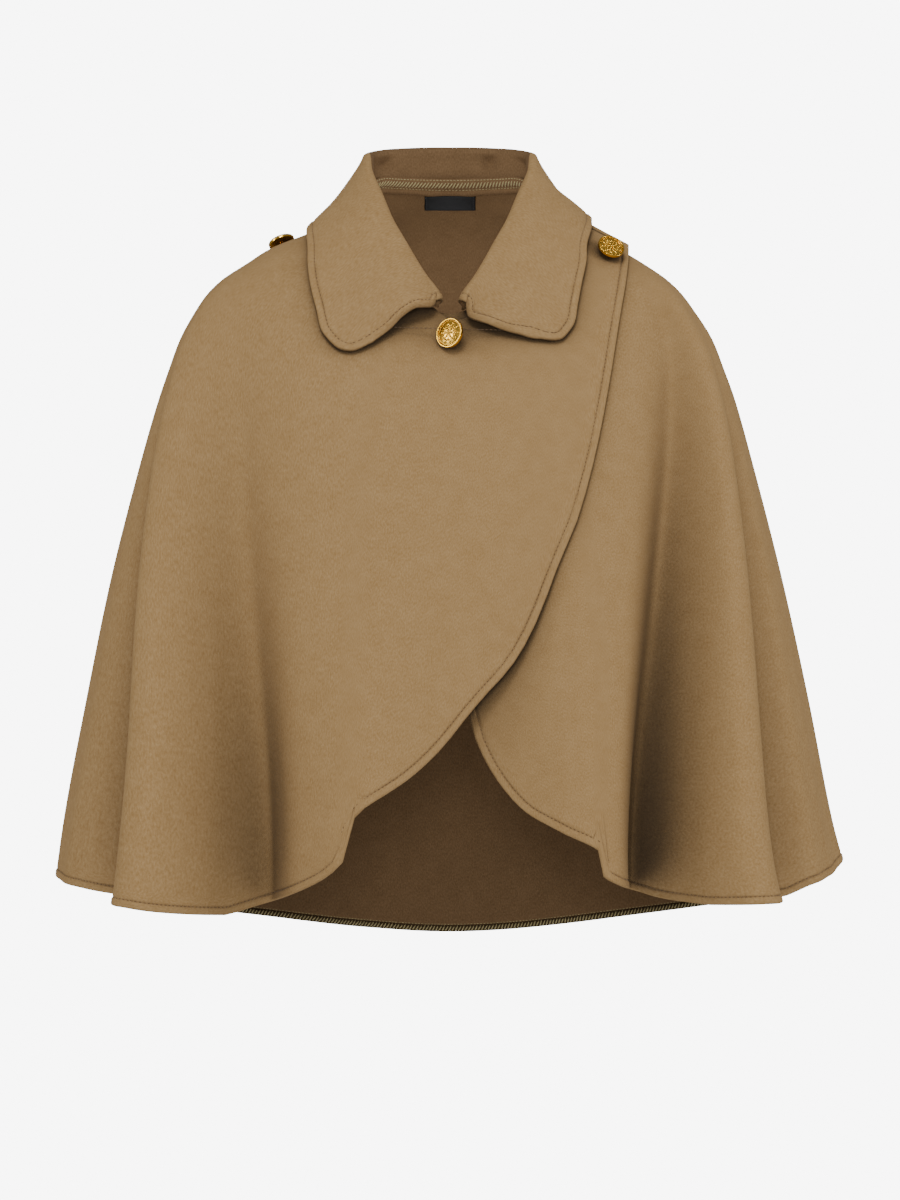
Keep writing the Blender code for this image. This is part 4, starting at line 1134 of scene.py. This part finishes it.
def gilt_button(radius):
    """The button lying face up on the origin: a stamped disc, rosette, beads and wire loop, joined."""
    bpy.ops.object.select_all(action="DESELECT")
    bpy.ops.mesh.primitive_cylinder_add(
        vertices=72, radius=radius * MM, depth=(BUTTON_RIM - BUTTON_BACK) * MM,
        location=(0.0, 0.0, 0.5 * (BUTTON_RIM + BUTTON_BACK) * MM),
    )
    disc = bpy.context.object
    bpy.ops.object.mode_set(mode="EDIT")
    bpy.ops.mesh.select_all(action="DESELECT")
    bpy.ops.object.mode_set(mode="OBJECT")
    for face in disc.data.polygons:
        face.select = face.normal.z > 0.9
    bpy.ops.object.mode_set(mode="EDIT")
    bpy.ops.mesh.select_mode(type="FACE")
    bpy.ops.mesh.inset(thickness=RIM_WIDTH * radius * MM, depth=0.0)
    for inset, rise in DOME_RINGS:
        bpy.ops.mesh.inset(thickness=inset * radius * MM, depth=rise * MM)
    bpy.ops.object.mode_set(mode="OBJECT")
    rounding = disc.modifiers.new("rounding", "BEVEL")
    rounding.width = 0.32 * MM
    rounding.segments = 3
    rounding.limit_method = "ANGLE"
    rounding.angle_limit = math.radians(35.0)
    bpy.ops.object.modifier_apply(modifier="rounding")
    parts = [disc]
    face_height = BUTTON_RIM + DOME_RINGS[0][1]
    for count, out, length, width, height, offset in PETALS:
        level = face_height + sum(rise for inset, rise in DOME_RINGS[1:]) * (1.0 - out**2) - 0.05
        for k in range(count):
            turn = math.radians(offset + 360.0 * k / count)
            place = (out * radius * math.cos(turn) * MM, out * radius * math.sin(turn) * MM, level * MM)
            size = (length * radius * MM, width * radius * MM, height * radius * MM)
            parts.append(stretched_ball(place, size, turn, math.radians(8.0)))
    top = face_height + sum(rise for inset, rise in DOME_RINGS[1:])
    boss = radius * MM
    parts.append(stretched_ball((0.0, 0.0, top * MM), (0.1 * boss, 0.1 * boss, 0.075 * boss), 0.0))
    for k in range(BEADS):
        turn = 2.0 * math.pi * k / BEADS
        out = BEAD_RING * radius * MM
        place = (out * math.cos(turn), out * math.sin(turn), (face_height + 0.1) * MM)
        bpy.ops.mesh.primitive_ico_sphere_add(subdivisions=2, radius=BEAD * radius * MM, location=place)
        parts.append(bpy.context.object)
    bpy.ops.mesh.primitive_torus_add(
        major_radius=LOOP_RADIUS * MM, minor_radius=LOOP_WIRE * MM, major_segments=32, minor_segments=12,
        location=(0.0, 0.0, (BUTTON_BACK - LOOP_DROP) * MM), rotation=(math.pi / 2.0, 0.0, 0.0),
    )
    parts.append(bpy.context.object)
    bpy.ops.object.select_all(action="DESELECT")
    for part in parts:
        part.select_set(True)
    bpy.context.view_layer.objects.active = disc
    bpy.ops.object.join()
    bpy.ops.object.transform_apply(location=True, rotation=True, scale=True)
    disc.data.materials.clear()
    disc.data.materials.append(gilt)
    bpy.ops.object.shade_smooth_by_angle(angle=math.radians(40.0))
    return disc


def thread_stem(length):
    """A stem of thread wound round itself below the loop, down to the cloth, with its foot spread."""
    turns = max(3, int(length / 0.62))
    at = np.linspace(0.0, 1.0, turns * 14)
    radius = STEM_RADIUS * (0.86 + 0.3 * (1.0 - at) ** 3)
    angle = 2.0 * math.pi * turns * at
    path = np.stack([radius * np.cos(angle), radius * np.sin(angle), -length * (1.0 - at)], -1) * MM
    curve = bpy.data.curves.new("thread_stem", "CURVE")
    curve.dimensions = "3D"
    curve.bevel_depth = 0.34 * MM
    curve.bevel_resolution = 2
    spline = curve.splines.new("POLY")
    spline.points.add(len(path) - 1)
    for point, place in zip(spline.points, path):
        point.co = (*place, 1.0)
    stem = bpy.data.objects.new("thread_stem", curve)
    bpy.context.scene.collection.objects.link(stem)
    bpy.ops.object.select_all(action="DESELECT")
    stem.select_set(True)
    bpy.context.view_layer.objects.active = stem
    bpy.ops.object.convert(target="MESH")
    return bpy.context.object


def loaned_mesh(master, name, placing):
    """A copy of the master with its own mesh, set in place within its mesh."""
    mesh = master.data.copy()
    mesh.name = name
    mesh.transform(placing)
    piece = bpy.data.objects.new(name, mesh)
    bpy.context.scene.collection.objects.link(piece)
    return piece


master = gilt_button(MASTER_RADIUS)
button_thread = spun_thread("brown_button_thread", "#4a3822")
for name, radius, at_column, at_down, facing, shank in BUTTONS:
    facing = Vector(facing).normalized()
    out = Vector(cape_normal(at_column, at_down))
    tilt = math.sqrt(max(0.0, 1.0 - facing.dot(out) ** 2))
    dip = max(SHANK_TIP * tilt, SHANK_RADIUS * tilt - SHANK_TIP * facing.dot(out))
    above = 0.5 * CLOTH + BUTTON_GAP + dip
    if abs(at_column) < FLAP_END:
        above += float(overlap_lift(at_column, at_down))
    seat = Vector(cape_point(at_column, at_down)) + out * above
    turn = facing.to_track_quat("Z", "Y").to_matrix().to_4x4()
    placing = Matrix.Translation((seat + facing * shank) * MM) @ turn
    button = loaned_mesh(master, name + "_gilt", placing @ Matrix.Scale(radius / MASTER_RADIUS, 4))
    stem = thread_stem(shank - STEM_TOP)
    stem.data.materials.append(button_thread)
    thread = loaned_mesh(stem, name + "_thread", placing @ Matrix.Translation((0.0, 0.0, -STEM_TOP * MM)))
    bpy.data.objects.remove(stem, do_unlink=True)
    for piece in (button, thread):
        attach(piece, "root")
        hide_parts(name)
bpy.data.objects.remove(master, do_unlink=True)
